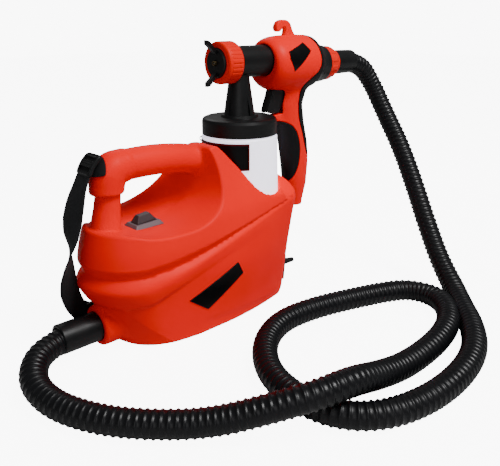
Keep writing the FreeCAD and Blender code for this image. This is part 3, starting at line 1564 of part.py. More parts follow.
def make_gun_body():
    wall, grip_wall = value_of("gun_wall", "grip_wall")
    outside = head_solid(0).fuse(grip_solid(0))
    nub = across(outline((84, 262), (60, 254), (56, 249.5, 61, 244), (86, 236)), -8, 8)
    outside = outside.fuse(nub)
    inside = head_solid(wall).cut(block((0, -60, 250), (SIZES["barrel_rear_x"], 60, 400)))
    inside = inside.fuse(grip_solid(grip_wall))
    shell = outside.cut(inside)
    seat_x = SIZES["spring_seat_x"]
    core = head_solid(0.5)
    seat = core.common(block((seat_x, -60, 314), (seat_x + 3, 60, 338)))
    shell = shell.fuse(seat)
    for x, z in gun_boss_places():
        boss = cylinder(SIZES["gun_boss_radius"], 120, (x, -60, z), (0, 1, 0))
        shell = shell.fuse(boss.common(outside))
    solid_feature("hanging_hook", hook_solid().cut(head_solid(0)))
    height = SIZES["barrel_height"]
    gap = SIZES["fit_gap"]
    shell = shell.cut(cylinder(SIZES["barrel_radius"] + gap, SIZES["barrel_rear_x"] - 30, (30, 0, height), (1, 0, 0)))
    shell = shell.cut(cylinder(SIZES["needle_radius"] + 0.4, 8, (seat_x - 2, 0, height), (1, 0, 0)))
    tail = SIZES["tail_height"]
    shell = shell.cut(cylinder(SIZES["connector_radius"] + 0.1, 30, (SIZES["tail_front_x"] - 12, 0, tail), (1, 0, 0)))
    slot_half = SIZES["trigger_thickness"] / 2 + SIZES["trigger_slot_gap"]
    shell = shell.cut(block((44, -slot_half, 251), (100, slot_half, 300)))
    pin = SIZES["trigger_pin_radius"] + SIZES["hub_gap"]
    pin_boss = cylinder(6, 120, (SIZES["trigger_pin_x"], -60, SIZES["trigger_pin_height"]), (0, 1, 0)).common(outside)
    pin_boss = pin_boss.cut(block((50, -slot_half, 300), (100, slot_half, 360)))
    shell = shell.fuse(pin_boss)
    pin_hole = cylinder(pin, 60, (SIZES["trigger_pin_x"], -30, SIZES["trigger_pin_height"]), (0, 1, 0))
    shell = shell.cut(pin_hole)
    for x, z in gun_boss_places():
        seat_y = SIZES["gun_screw_seat_y"]
        shell = shell.cut(cylinder(1.2, 14, (x, -12, z), (0, 1, 0)))
        shell = shell.cut(cylinder(1.5, seat_y, (x, 0, z), (0, 1, 0)))
        shell = shell.cut(cylinder(2.9, 60, (x, seat_y, z), (0, 1, 0)))
    grip_skin = shell.common(block((30, -60, 100), (170, 60, 300)))
    solid_feature("grip_pad", grip_skin.common(pad_region()))
    solid_feature("grip_back_strip", grip_skin.common(strip_region()))
    shell = shell.cut(pad_region()).cut(strip_region())
    solid_feature("gun_body_near", shell.common(block((0, -100, 50), (250, 0, 450))))
    solid_feature("gun_body_far", shell.common(block((0, 0, 50), (250, 100, 450))))

    screw = screw_shape(1.15, SIZES["gun_screw_seat_y"] + 10, 2.6, 2.0)
    screws = []
    for x, z in gun_boss_places():
        one = screw.copy()
        one.translate(Vector(x, SIZES["gun_screw_seat_y"], z))
        screws.append(one)
    solid_feature("gun_screws", Part.makeCompound(screws))

    diamond = outline((92, 348), (109, 337), (79, 311), (64, 335))
    layer = head_solid(-SIZES["plate_thickness"]).cut(head_solid(0))
    pair = [layer.common(across(diamond, near, far)) for near, far in ((-60, -10), (10, 60))]
    solid_feature("gun_plates", Part.makeCompound(pair))


def make_tail():
    axis = S.tail_height
    front = S.tail_front_x
    radius, length = S.tail_collar_radius, S.tail_collar_length
    bore = S.connector_radius + 0.1
    turned_x(
        "tail_collar",
        [(front, bore), (front, radius), (front + length - 4, radius), (front + length, radius - 2),
         (front + length, bore)],
        axis,
    )
    ring_front = front + length + S.fit_gap
    ring_rear = ring_front + S.swivel_length
    ring = turned_x(
        "swivel_ring",
        [(ring_front, bore), (ring_front, S.swivel_front_radius - 1), (ring_front + 1, S.swivel_front_radius),
         (ring_front + 9, S.swivel_front_radius), (ring_front + 12, S.swivel_front_radius - 1.5),
         (ring_rear - 2, S.swivel_rear_radius + 1), (ring_rear, S.swivel_rear_radius), (ring_rear, bore)],
        axis,
    )
    flat = draw_polygon(
        new_sketch(ring, "XY_Plane"),
        box_points(ring_front + 5, S.swivel_front_radius, term(7.0), term(1.6)),
    )
    around(ring, pocket(ring, flat, term(6.0), both_ways=True), 10, "X_Axis")
    flange = front - 14
    tip = ring_rear + S.fit_gap
    turned_x(
        "hose_connector",
        [(flange - 3, S.connector_bore), (flange - 3, S.connector_flange_radius), (flange, S.connector_flange_radius),
         (flange, S.connector_radius), (ring_rear, S.connector_radius), (ring_rear, S.connector_tip_radius),
         (tip + 16, S.connector_tip_radius), (tip + 16, S.connector_bore)],
        axis,
    )


# Trigger

def make_trigger():
    trigger = new_body("trigger")
    x, z = S.trigger_pin_x, S.trigger_pin_height
    blade = draw_polygon(
        new_sketch(trigger, "XZ_Plane"),
        [(term(-18), term(-60)), (term(-23), term(-72)), (term(-28), term(-87)), (term(-3), term(-90)),
         (term(5), term(-76)), (term(10), term(-61)), (term(6), term(-44)), (term(6), term(4)), (term(2), term(8)),
         (term(-3), term(8)), (term(-6), term(4)), (term(-8), term(-44))],
    )
    pad(trigger, blade, S.trigger_thickness, both_ways=True)
    hole = draw_circle(new_sketch(trigger, "XZ_Plane"), 0, 0, S.trigger_pin_radius + 0.05)
    pocket(trigger, hole, S.trigger_thickness + 2, both_ways=True)
    slot = draw_polygon(
        new_sketch(trigger, "YZ_Plane"),
        box_points(term(0), S.barrel_height - S.trigger_pin_height, term(4.4), term(14.0)),
    )
    pocket(trigger, slot, term(60.0), both_ways=True)
    place(trigger, x, 0.0, z)
    pin = doc.addObject("Part::Cylinder", "trigger_pin")
    pin.Label = "trigger_pin"
    bind(pin, "Radius", S.trigger_pin_radius)
    bind(pin, "Height", term(40.0))
    sub_parts.append(pin)
    place(pin, x, 20.0, z, Rotation(Vector(1, 0, 0), 90))


def make_needle_spring():
    """A coil spring behind the needle's collar."""
    front, rear, pitch = value_of("spring_front_x", "spring_seat_x", "spring_pitch")
    coil, wire = value_of("spring_coil_radius", "spring_wire_radius")
    length = rear - front - 2 * wire - 0.6
    helix = Part.makeHelix(pitch, length, coil)
    ring = Part.Wire(Part.Circle(Vector(coil, 0, 0), Vector(0, 1, 0), wire).toShape())
    spring = Part.Wire(helix).makePipeShell([ring], True, True)
    spring.rotate(Vector(0, 0, 0), Vector(0, 1, 0), 90)
    spring.translate(Vector(front + wire + 0.3, 0, SIZES["barrel_height"]))
    solid_feature("needle_spring", spring)


make_housing()
make_housing_screws()
make_rubber_feet()
make_base_plates()
make_switch()
make_turbine()
make_rotor()
make_motor()
make_rear_panel()
make_hose()
make_cuffs()
make_strap()
make_cup()
make_barrel()
make_nozzle_set()
make_gun_body()
make_tail()
make_trigger()
make_needle_spring()
doc.recompute()

# Every feature has to be whole before anything is written

faults = []
for item in doc.Objects:
    if "Invalid" in item.State or "Error" in item.State:
        faults.append(f"{item.Label}: {item.State}")
for item in sub_parts:
    if item.Shape.isNull() or not item.Shape.isValid() or item.Shape.Volume <= 0:
        faults.append(f"{item.Label}: shape is not sound")
if faults:
    raise SystemExit("\n".join(faults))

os.makedirs("parts", exist_ok=True)
for item in sub_parts:
    solids = len(item.Shape.Solids)
    print(item.Label, solids, round(item.Shape.Volume))
    item.Shape.exportStep(f"parts/{item.Label}.step")
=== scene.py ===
import json
import math

import bpy
import numpy as np
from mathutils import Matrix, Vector


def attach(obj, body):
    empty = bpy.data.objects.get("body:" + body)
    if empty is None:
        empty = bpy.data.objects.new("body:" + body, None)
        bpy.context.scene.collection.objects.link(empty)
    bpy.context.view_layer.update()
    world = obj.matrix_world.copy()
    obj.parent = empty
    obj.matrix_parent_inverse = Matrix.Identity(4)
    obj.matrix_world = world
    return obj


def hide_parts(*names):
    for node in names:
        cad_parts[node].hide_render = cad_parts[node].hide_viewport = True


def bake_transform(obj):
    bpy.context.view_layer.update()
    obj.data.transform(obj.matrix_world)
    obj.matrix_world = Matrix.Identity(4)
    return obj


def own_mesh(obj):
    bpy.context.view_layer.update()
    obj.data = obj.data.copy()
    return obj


# The looks of the paint sprayer. Shapes are written in millimetres, with X counted from the axis of the
# paint cup, and become metres in the model's frame when their mesh is made.

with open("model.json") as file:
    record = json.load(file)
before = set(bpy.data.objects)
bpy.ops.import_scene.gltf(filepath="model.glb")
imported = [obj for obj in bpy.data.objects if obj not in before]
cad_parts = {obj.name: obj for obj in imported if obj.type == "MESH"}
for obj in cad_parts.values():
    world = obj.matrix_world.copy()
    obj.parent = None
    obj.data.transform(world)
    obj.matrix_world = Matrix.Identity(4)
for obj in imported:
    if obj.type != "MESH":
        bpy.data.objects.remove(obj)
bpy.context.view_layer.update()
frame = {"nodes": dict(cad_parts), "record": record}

CUP_AXIS_X = 0.011


def metres(points):
    """Millimetres from the cup's axis to metres in the model's frame."""
    return np.array(points, dtype=float) / 1000.0 + [CUP_AXIS_X, 0, 0]


def millimetres(points):
    """Metres in the model's frame to millimetres from the cup's axis."""
    return (np.array(points) - [CUP_AXIS_X, 0, 0]) * 1000.0


def feed(tree, node, sockets):
    """Links a node's sockets to other nodes' outputs, or sets them to plain values."""
    for socket, value in sockets.items():
        if isinstance(value, bpy.types.NodeSocket):
            tree.links.new(value, node.inputs[socket])
        else:
            node.inputs[socket].default_value = value


# Camera, floor and light

CAMERA_PLACE = (-545.84, -590.22, 377.36)
CAMERA_HEADING = 43.77
CAMERA_PITCH = 19.58
CAMERA_LENS = 43.2


def make_camera():
    data = bpy.data.cameras.new("camera")
    data.lens = CAMERA_LENS
    data.sensor_width = 36.0
    data.sensor_fit = "HORIZONTAL"
    camera = bpy.data.objects.new("camera", data)
    camera.location = Vector(metres([CAMERA_PLACE])[0])
    camera.rotation_euler = (math.radians(90 - CAMERA_PITCH), 0, math.radians(-CAMERA_HEADING))
    bpy.context.collection.objects.link(camera)
    bpy.context.scene.camera = camera


def area_light(name, place, target, size, power):
    data = bpy.data.lights.new(name, "AREA")
    data.shape = "DISK"
    data.size = size
    data.energy = power
    lamp = bpy.data.objects.new(name, data)
    lamp.location = place
    aim = Vector(target) - Vector(place)
    lamp.rotation_euler = aim.to_track_quat("-Z", "Y").to_euler()
    bpy.context.collection.objects.link(lamp)


FLOOR_REACH = 6.0
WORLD_LIGHT = 0.2
WORLD_SEEN = 9.0
FLOOR_GLOW = 8.6


def brighter_to_the_camera(tree, lighting, seen):
    """A strength that looks bright, as white paper does, but lights the object only a little."""
    path = tree.nodes.new("ShaderNodeLightPath")
    choose = tree.nodes.new("ShaderNodeMapRange")
    feed(tree, choose, {"Value": path.outputs["Is Camera Ray"], "To Min": lighting, "To Max": seen})
    return choose.outputs["Result"]


def make_floor():
    """A large sheet of white paper."""
    mesh = bpy.data.meshes.new("floor")
    corners = [(-1, -1, 0), (1, -1, 0), (1, 1, 0), (-1, 1, 0)]
    mesh.from_pydata([Vector(corner) * FLOOR_REACH for corner in corners], [], [(0, 1, 2, 3)])
    floor = bpy.data.objects.new("floor", mesh)
    bpy.context.collection.objects.link(floor)
    paper = bpy.data.materials.new("paper")
    paper.use_nodes = True
    tree = paper.node_tree
    feed(tree, tree.nodes["Principled BSDF"], {
        "Base Color": (0.5, 0.5, 0.5, 1),
        "Roughness": 0.7,
        "Emission Color": (1, 1, 1, 1),
        "Emission Strength": brighter_to_the_camera(tree, 0.0, FLOOR_GLOW),
    })
    mesh.materials.append(paper)


def make_studio():
    """The floor, a white surrounding and three lamps."""
    make_floor()
    world = bpy.data.worlds.new("studio")
    world.use_nodes = True
    tree = world.node_tree
    strength = brighter_to_the_camera(tree, WORLD_LIGHT, WORLD_SEEN)
    feed(tree, tree.nodes["Background"], {"Color": (1, 1, 1, 1), "Strength": strength})
    bpy.context.scene.world = world
    area_light("key", (0.3, -1.35, 2.1), (-0.03, 0, 0.12), 1.0, 76)
    area_light("fill", (-1.7, -1.6, 1.1), (0, 0, 0.15), 1.6, 12)
    area_light("rim", (0.9, 1.6, 1.7), (0, 0, 0.2), 1.2, 5)


# Materials, all made of shader nodes

class Shades:
    """Adds nodes to one material and links them."""

    def __init__(self, name):
        self.material = bpy.data.materials.new(name)
        self.material.use_nodes = True
        self.tree = self.material.node_tree
        self.coordinates = self.node("ShaderNodeTexCoord", {}).outputs["Object"]

    def node(self, kind, sockets):
        node = self.tree.nodes.new(kind)
        feed(self.tree, node, sockets)
        return node

    def noise(self, scale, detail, coordinates=None):
        sockets = {"Scale": scale, "Detail": detail, "Vector": coordinates or self.coordinates}
        return self.node("ShaderNodeTexNoise", sockets).outputs["Fac"]

    def between(self, factor, low, high):
        """Maps the middle of a factor's range onto a range of numbers."""
        sockets = {"Value": factor, "From Min": 0.3, "From Max": 0.7, "To Min": low, "To Max": high}
        return self.node("ShaderNodeMapRange", sockets).outputs["Result"]

    def colours(self, factor, first, second):
        """Mixes two colours by a factor."""
        mix = self.node("ShaderNodeMix", {"Factor": factor, 6: (*first, 1), 7: (*second, 1)})
        mix.data_type = "RGBA"
        return mix.outputs[2]

    def bump(self, height, strength, distance, under=None):
        """A surface relief, over another one where it is given."""
        sockets = {"Height": height, "Strength": strength, "Distance": distance}
        if under is not None:
            sockets["Normal"] = under
        return self.node("ShaderNodeBump", sockets).outputs["Normal"]

    def dressed(self, sockets):
        """The material, with its shader's sockets linked or set."""
        feed(self.tree, self.tree.nodes["Principled BSDF"], sockets)
        return self.material


def shaded(colour, times, more=0.0):
    """A colour made lighter or darker."""
    return tuple(min(1.0, part * times + more) for part in colour)


def moulded_plastic(name, colour, shade, roughness, shine=0.22, grain=0.12):
    """Moulded plastic: a faint mould grain, slow waves of sheen and a slight change of shade."""
    s = Shades(name)
    slow = s.noise(9.0, 2.0)
    waves = s.bump(slow, 0.05, 0.004)
    return s.dressed({
        "Base Color": s.colours(s.between(slow, 0.0, 1.0), colour, shade),
        "Roughness": s.between(s.noise(40.0, 4.0), roughness - 0.04, roughness + 0.06),
        "Normal": s.bump(s.noise(2600.0, 2.0), grain, 0.0001, waves),
        "Specular IOR Level": shine,
    })


def rubber_skin(name, colour, roughness, shine=0.25):
    """Soft black rubber or flexible plastic with a dusty bloom."""
    s = Shades(name)
    dust = s.between(s.noise(120.0, 5.0), 0.0, 0.35)
    return s.dressed({
        "Base Color": s.colours(dust, colour, shaded(colour, 1.8, 0.001)),
        "Roughness": s.between(s.noise(35.0, 3.0), roughness - 0.05, roughness + 0.08),
        "Normal": s.bump(s.noise(1800.0, 2.0), 0.15, 0.0001),
        "Specular IOR Level": shine,
    })


def clear_plastic_painted_glow(name, colour):
    """Cloudy plastic with a painted glow: it emits light, though it is no lamp, in place of the light that
    comes through it.
    """
    s = Shades(name)
    cloud = s.between(s.noise(30.0, 3.0), 0, 1)
    return s.dressed({
        "Base Color": s.colours(cloud, colour, shaded(colour, 1.04)),
        "Roughness": s.between(s.noise(60.0, 3.0), 0.34, 0.42),
        "Normal": s.bump(s.noise(900.0, 2.0), 0.05, 0.0001),
        # Painted glow: an emission that lights the plastic up, in place of light passing through it
        "Emission Color": (0.9, 0.87, 1.0, 1),
        "Emission Strength": 1.3,
        "Subsurface Weight": 0.35,
        "Subsurface Radius": (0.01, 0.01, 0.012),
        "Subsurface Scale": 0.5,
    })


def metal(name, colour, roughness, stretch=(1, 1, 1)):
    """Turned or pressed metal with fine tool marks."""
    s = Shades(name)
    stretched = s.node("ShaderNodeMapping", {"Vector": s.coordinates, "Scale": stretch})
    marks = s.noise(900.0, 4.0, stretched.outputs["Vector"])
    patches = s.between(s.noise(50.0, 3.0), 0, 1)
    return s.dressed({
        "Base Color": s.colours(patches, colour, shaded(colour, 0.75)),
        "Roughness": s.between(marks, roughness - 0.06, roughness + 0.08),
        "Normal": s.bump(marks, 0.1, 0.0001),
        "Metallic": 1.0,
    })


def open_foam(name, colour):
    """Filter foam with open cells."""
    s = Shades(name)
    cells = s.node("ShaderNodeTexVoronoi", {"Vector": s.coordinates, "Scale": 900.0}).outputs["Distance"]
    return s.dressed({
        # Painted shade: the colour darkens to three tenths in the pit of each cell, where the relief is
        # lowest
        "Base Color": s.colours(s.between(cells, 0.0, 1.0), shaded(colour, 0.3), colour),
        "Normal": s.bump(cells, 0.8, 0.0006),
        "Roughness": 0.95,
    })


def webbing_weave(name, colour):
    """Flat woven webbing: diagonal ribs of yarn along the strap."""
    s = Shades(name)
    uv = s.node("ShaderNodeUVMap", {}).outputs["UV"]
    yarns = []
    for slope in (1.0, -1.0):
        leaning = {"Vector": uv, "Rotation": (0, 0, slope * math.radians(52))}
        place = s.node("ShaderNodeMapping", leaning).outputs["Vector"]
        wave = s.node("ShaderNodeTexWave", {"Vector": place, "Scale": 260.0, "Distortion": 0.6})
        yarns.append(wave.outputs["Fac"])
    higher = s.node("ShaderNodeMath", dict(enumerate(yarns)))
    higher.operation = "MAXIMUM"
    ribs = higher.outputs["Value"]
    return s.dressed({
        # Painted light and shade: the colour is lighter on the raised yarns and darker in the grooves
        # between them
        "Base Color": s.colours(s.between(ribs, 0.0, 0.6), colour, shaded(colour, 2.4, 0.003)),
        "Normal": s.bump(ribs, 0.5, 0.0003),
        "Roughness": 0.72,
        "Specular IOR Level": 0.2,
        "Sheen Weight": 0.03,
    })


RED = (0.88, 0.002, 0.0)
RED_DEEP = (0.80, 0.001, 0.0)

# What makes each material, and its colours, roughness, shine and grain
LOOKS = {
    "red_plastic": (moulded_plastic, RED, RED_DEEP, 0.42, 0.09),
    "housing_red": (moulded_plastic, RED, RED_DEEP, 0.46, 0.07),
    "bright_red_plastic": (moulded_plastic, (0.74, 0.008, 0.0), (0.7, 0.006, 0.0), 0.36, 0.1),
    "black_plastic": (moulded_plastic, (0.0035, 0.0036, 0.0038), (0.0055, 0.0057, 0.006), 0.38, 0.2, 0.2),
    "hose_plastic": (rubber_skin, (0.0034, 0.0035, 0.0042), 0.33, 0.2),
    "black_rubber": (rubber_skin, (0.004, 0.004, 0.0045), 0.6),
    "soft_black": (rubber_skin, (0.0022, 0.0022, 0.0024), 0.55, 0.15),
    # The container's plastic carries a painted glow from its emission
    "clear_white_plastic": (clear_plastic_painted_glow, (0.87, 0.85, 0.93)),
    "white_plastic": (moulded_plastic, (0.7, 0.69, 0.64), (0.64, 0.63, 0.58), 0.45),
    "grey_plastic": (moulded_plastic, (0.045, 0.034, 0.037), (0.036, 0.028, 0.031), 0.36),
    "switch_grey": (moulded_plastic, (0.12, 0.09, 0.1), (0.1, 0.075, 0.083), 0.4, 0.25),
    "steel": (metal, (0.55, 0.55, 0.57), 0.28),
    "laminated_steel": (metal, (0.3, 0.3, 0.32), 0.42, (8.0, 0.3, 0.3)),
    # Painted shade: the brass is made far darker than brass, as for a nozzle seen in shadow
    "brass": (metal, (0.14, 0.1, 0.05), 0.45),
    "foam": (open_foam, (0.05, 0.05, 0.055)),
    "webbing": (webbing_weave, (0.003, 0.003, 0.0036)),
    "carbon": (rubber_skin, (0.02, 0.02, 0.021), 0.7),
    "plate_black": (moulded_plastic, (0.0012, 0.0012, 0.0014), (0.002, 0.002, 0.0022), 0.3, 0.12),
    "plate_border": (moulded_plastic, (0.09, 0.002, 0.003), (0.07, 0.002, 0.002), 0.4, 0.12),
}
MATERIALS = {name: make(name, *values) for name, (make, *values) in LOOKS.items()}


def dress_cad_nodes():
    """Gives every node that is kept from the frame its material."""
    for entry in frame["record"]["subparts"]:
        node = frame["nodes"][entry["node"]]
        material = MATERIALS[entry["material_slot"]]
        if not node.material_slots:
            node.data.materials.append(material)
        for held in node.material_slots:
            held.material = material


# Making pieces

def make_piece(name, points, faces, material, body=None, smooth=True):
    """A mesh object in the model's frame, which rides on a body where one is named."""
    mesh = bpy.data.meshes.new(name)
    mesh.from_pydata(metres(points).tolist(), [], faces)
    mesh.polygons.foreach_set("use_smooth", [smooth] * len(mesh.polygons))
    mesh.materials.append(MATERIALS[material])
    mesh.update()
    piece = bpy.data.objects.new(name, mesh)
    bpy.context.collection.objects.link(piece)
    if body:
        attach(piece, body)
    return piece


def nurbs_points(name, control, resolution):
    """Points along a smooth line that has the given points, in metres, as its control points."""
    data = bpy.data.curves.new(name, "CURVE")
    data.dimensions = "3D"
    data.resolution_u = resolution
    spline = data.splines.new("NURBS")
    spline.points.add(len(control) - 1)
    for point, place in zip(spline.points, control):
        point.co = (*place, 1.0)
    spline.order_u = 3
    spline.use_endpoint_u = True
    curve = bpy.data.objects.new(name, data)
    line = bpy.data.meshes.new_from_object(curve)
    points = np.array([vertex.co for vertex in line.vertices])
    bpy.data.objects.remove(curve)
    bpy.data.meshes.remove(line)
    return points


def unit(rows):
    """The rows scaled to a length of one."""
    return rows / np.maximum(np.linalg.norm(rows, axis=1), 1e-9)[:, None]


def rows_between(at, places, rows):
    """Rows of three numbers, read between their own places."""
    return np.stack([np.interp(at, places, rows[:, k]) for k in range(3)], axis=1)


class Line:
    """A row of points that can be read at any distance along it."""

    def __init__(self, points):
        self.points = points
        steps = np.linalg.norm(np.diff(points, axis=0), axis=1)
        self.along = np.concatenate([[0.0], np.cumsum(steps)])
        self.length = self.along[-1]

    def at(self, distances):
        return rows_between(distances, self.along, self.points)

    def directions(self, distances, reach=0.002):
        ahead = self.at(np.minimum(distances + reach, self.length))
        behind = self.at(np.maximum(distances - reach, 0.0))
        return unit(ahead - behind)


# Air hose

# A point without a height lies on the floor
HOSE_ON_FLOOR = 15.5
HOSE_POINTS = [
    (-250, 0, 31), (-301, 0, 30.5), (-337, -36, 23), (-340, -84, 16.5), (-320, -137), (-288, -180),
    (-246, -222, 18), (-208, -262, 36), (-170, -290, 47.5), (-128, -298, 47.5), (-78, -295, 30),
    (-20, -292), (46, -290), (102, -277), (142, -253), (164, -221), (156, -184), (122, -165), (72, -147),
    (14, -129), (-46, -124), (-100, -148), (-140, -194), (-154, -246), (-147, -295), (-114, -328),
    (-58, -344), (8, -344), (70, -329), (122, -297), (162, -262), (198, -232, 18), (222, -192, 44),
    (244, -152, 88), (264, -112, 140), (281, -72, 190), (291, -32, 236), (289, -5, 280), (254, 0, 317),
    (203, 0, 317),
]
HOSE_VALLEY = 0.0137
HOSE_CREST = 0.0151
HOSE_RIB_PITCH = 0.0076
HOSE_RIDGE_SHARE = 0.17
HOSE_PLAIN_END = 0.033
HOSE_CORNERS = 28


def hose_rings(length):
    """Distances along the hose and its radius at each: ribs between two plain ends."""
    ribs = int((length - 2 * HOSE_PLAIN_END) / HOSE_RIB_PITCH)
    rings_per_rib = 8
    ribbed = np.linspace(HOSE_PLAIN_END, length - HOSE_PLAIN_END, ribs * rings_per_rib + 1)
    phase = np.arange(len(ribbed)) % rings_per_rib / rings_per_rib
    ridge = np.exp(-(np.minimum(phase, 1 - phase) / HOSE_RIDGE_SHARE) ** 2)
    ends = np.linspace(0, HOSE_PLAIN_END - 0.001, 6)
    plain = [HOSE_VALLEY] * len(ends)
    radii = np.concatenate([plain, HOSE_VALLEY + (HOSE_CREST - HOSE_VALLEY) * ridge, plain])
    return np.concatenate([ends, ribbed, length - ends[::-1]]), radii


def tube_points(line, distances, radii, count):
    """Rings of points round a line, which don't twist along it."""
    along = line.directions(distances)
    side = np.cross(along[0], [0, 0, 1.0])
    angles = np.linspace(0, 2 * math.pi, count, endpoint=False)
    points = []
    for centre, direction, radius in zip(line.at(distances), along, radii):
        side = side - direction * np.dot(side, direction)
        side /= np.linalg.norm(side)
        up = np.cross(direction, side)
        ring = np.outer(np.cos(angles), side) + np.outer(np.sin(angles), up)
        points.append(centre + radius * ring)
    return np.concatenate(points)


def make_hose(gun_cuff):
    """A ribbed tube along the hose's route, with a plain stretch at each end."""
    route = [(*place, HOSE_ON_FLOOR)[:3] for place in HOSE_POINTS]
    line = Line(nurbs_points("hose_line", metres(route), 24))
    distances, radii = hose_rings(line.length)
    points = tube_points(line, distances, radii, HOSE_CORNERS)
    faces = ring_faces(len(distances), HOSE_CORNERS)
    hose = make_piece("ribbed_hose", millimetres(points), faces, "hose_plastic")
    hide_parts("air_hose")
    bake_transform(hose)


def ring_faces(rings, count):
    """Quads between rings of the same count of points."""
    faces = []
    for ring in range(rings - 1):
        here, there = ring * count, (ring + 1) * count
        for k in range(count):
            after = (k + 1) % count
            faces.append((here + k, here + after, there + after, there + k))
    return faces


def capped_faces(rings, count):
    """Quads between rings of points, and a face across each end."""
    first = tuple(range(count))
    last = tuple((rings - 1) * count + k for k in first)
    return ring_faces(rings, count) + [first[::-1], last]


# Carrying strap

# Places along the strap, and the way its width points there
STRAP_SECTIONS = [
    ((-232.4, 0, 219.0), (0, 1, 0)), ((-238.7, 0.5, 206.1), (-0.1, 1, 0)),
    ((-244.5, 2, 189.7), (-0.35, 0.94, 0)), ((-248.8, 4, 172.9), (-0.45, 0.9, 0)),
    ((-251.8, 7, 152.8), (-0.2, 1, 0)), ((-253.6, 10, 130.8), (0.35, 0.93, -0.15)),
    ((-256.4, 13, 108.6), (0.7, 0.68, -0.2)), ((-257.2, 17, 87.4), (0.93, 0.35, 0.1)),
    ((-253.6, 21, 68.1), (0.93, 0.05, 0.4)), ((-245.4, 26, 50.3), (0.6, 0, 0.8)),
    ((-236, 30.95, 39), (0.15, 0, 1)), ((-224, 30.95, 35), (0, 0, 1)),
]
STRAP_WIDTH = 0.025
STRAP_THICKNESS = 0.0017


def webbing_outline(across=8, selvedge=1.03):
    """The webbing's section as shares of its half width and half thickness."""
    top = [(-1 + 2 * k / across, 1.0) for k in range(across + 1)]
    bottom = [(1 - 2 * k / across, -1.0) for k in range(across + 1)]
    return top + [(selvedge, 0.0)] + bottom + [(-selvedge, 0.0)]


def make_strap(buckle):
    """Flat webbing that turns over as it hangs, with rounded selvedges."""
    line = Line(nurbs_points("strap_line", metres([place for place, _ in STRAP_SECTIONS]), 12))
    distances = np.linspace(0, line.length, 90)
    centres = line.at(distances)
    along = line.directions(distances)
    stations = np.linspace(0, line.length, len(STRAP_SECTIONS))
    widths = unit(np.array([wide for _, wide in STRAP_SECTIONS], dtype=float))
    wide = rows_between(distances, stations, widths)
    wide = unit(wide - along * np.sum(wide * along, axis=1)[:, None])
    through = np.cross(along, wide)
    half, thick = STRAP_WIDTH / 2, STRAP_THICKNESS / 2
    outline = webbing_outline()
    points = []
    for centre, sideways, normal in zip(centres, wide, through):
        for a, b in outline:
            points.append(centre + sideways * (half * a) + normal * (thick * b))
    faces = capped_faces(len(distances), len(outline))
    strap = make_piece("strap_webbing", millimetres(points), faces, "webbing", "base")
    lay_uv(strap, distances, outline)
    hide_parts("carrying_strap")


def lay_uv(piece, distances, outline):
    """Metres along and across the strap as its texture coordinates."""
    layer = piece.data.uv_layers.new(name="UVMap")
    for loop in piece.data.loops:
        ring, corner = divmod(loop.vertex_index, len(outline))
        layer.data[loop.index].uv = (distances[ring], outline[corner][0] * STRAP_WIDTH / 2)


# Carved pieces, each from a function that is below zero inside the piece

def both(a, b, soft):
    """The overlap of two shapes, with a rounded edge where they meet."""
    share = np.clip(0.5 + 0.5 * (a - b) / soft, 0, 1)
    return b + (a - b) * share + soft * share * (1 - share)


def either(a, b, soft):
    """Two shapes in one, with a fillet where they meet."""
    return -both(-a, -b, soft)


def ease(value):
    """Runs smoothly from 0 to 1 as the value does."""
    value = np.clip(value, 0, 1)
    return value * value * (3 - 2 * value)


def smooth_row(places, values, reach):
    """A row of numbers read smoothly between its places."""
    fine = np.arange(places[0] - 3 * reach, places[-1] + 3 * reach, reach / 8)
    raw = np.interp(fine, places, values)
    window = np.hanning(17)
    smooth = np.convolve(np.pad(raw, 8, mode="edge"), window / window.sum(), mode="valid")
    return lambda at: np.interp(at, fine, smooth)


def curve_rows(points, steps):
    """More points on a smooth curve through a row of points, without its first and last stretch."""
    rows = []
    for a, b, c, d in zip(points, points[1:], points[2:], points[3:]):
        square, cube = 2 * a - 5 * b + 4 * c - d, 3 * b - a - 3 * c + d
        for t in np.arange(steps) / steps:
            rows.append(0.5 * (2 * b + (c - a) * t + square * t ** 2 + cube * t ** 3))
    return np.array(rows)


def rounded_outline(points):
    """A closed outline that bends smoothly through its points."""
    points = np.array(points, dtype=float)
    return curve_rows(np.concatenate([points[-1:], points, points[:2]]), 5)


def smooth_route(points, radii, steps=6):
    """More points along a route, on a smooth curve, with radii between its own."""
    points = np.array(points, dtype=float)
    ahead, beyond = 2 * points[0] - points[1], 2 * points[-1] - points[-2]
    rows = curve_rows(np.vstack([ahead, points, beyond]), steps)
    radii = np.interp(np.arange(len(rows) + 1) / steps, np.arange(len(points)), radii)
    return np.vstack([rows, points[-1]]), radii


def from_segment(a, b, u, v):
    """Squared distance in a plane to the line from a to b, and its share before the nearest place."""
    du, dv = b - a
    share = np.clip(((u - a[0]) * du + (v - a[1]) * dv) / (du * du + dv * dv + 1e-12), 0, 1)
    return (u - a[0] - share * du) ** 2 + (v - a[1] - share * dv) ** 2, share


def outline_distance(outline, u, v):
    """Signed distance to a closed outline in a plane, negative inside."""
    outline = np.array(outline)
    best = np.full(np.broadcast(u, v).shape, 1e9)
    inside = np.zeros(best.shape, dtype=bool)
    for a, b in zip(outline, np.roll(outline, -1, axis=0)):
        best = np.minimum(best, from_segment(a, b, u, v)[0])
        if a[1] != b[1]:
            crosses = (a[1] > v) != (b[1] > v)
            inside ^= crosses & (u < a[0] + (v - a[1]) * (b[0] - a[0]) / (b[1] - a[1]))
    return np.where(inside, -np.sqrt(best), np.sqrt(best))


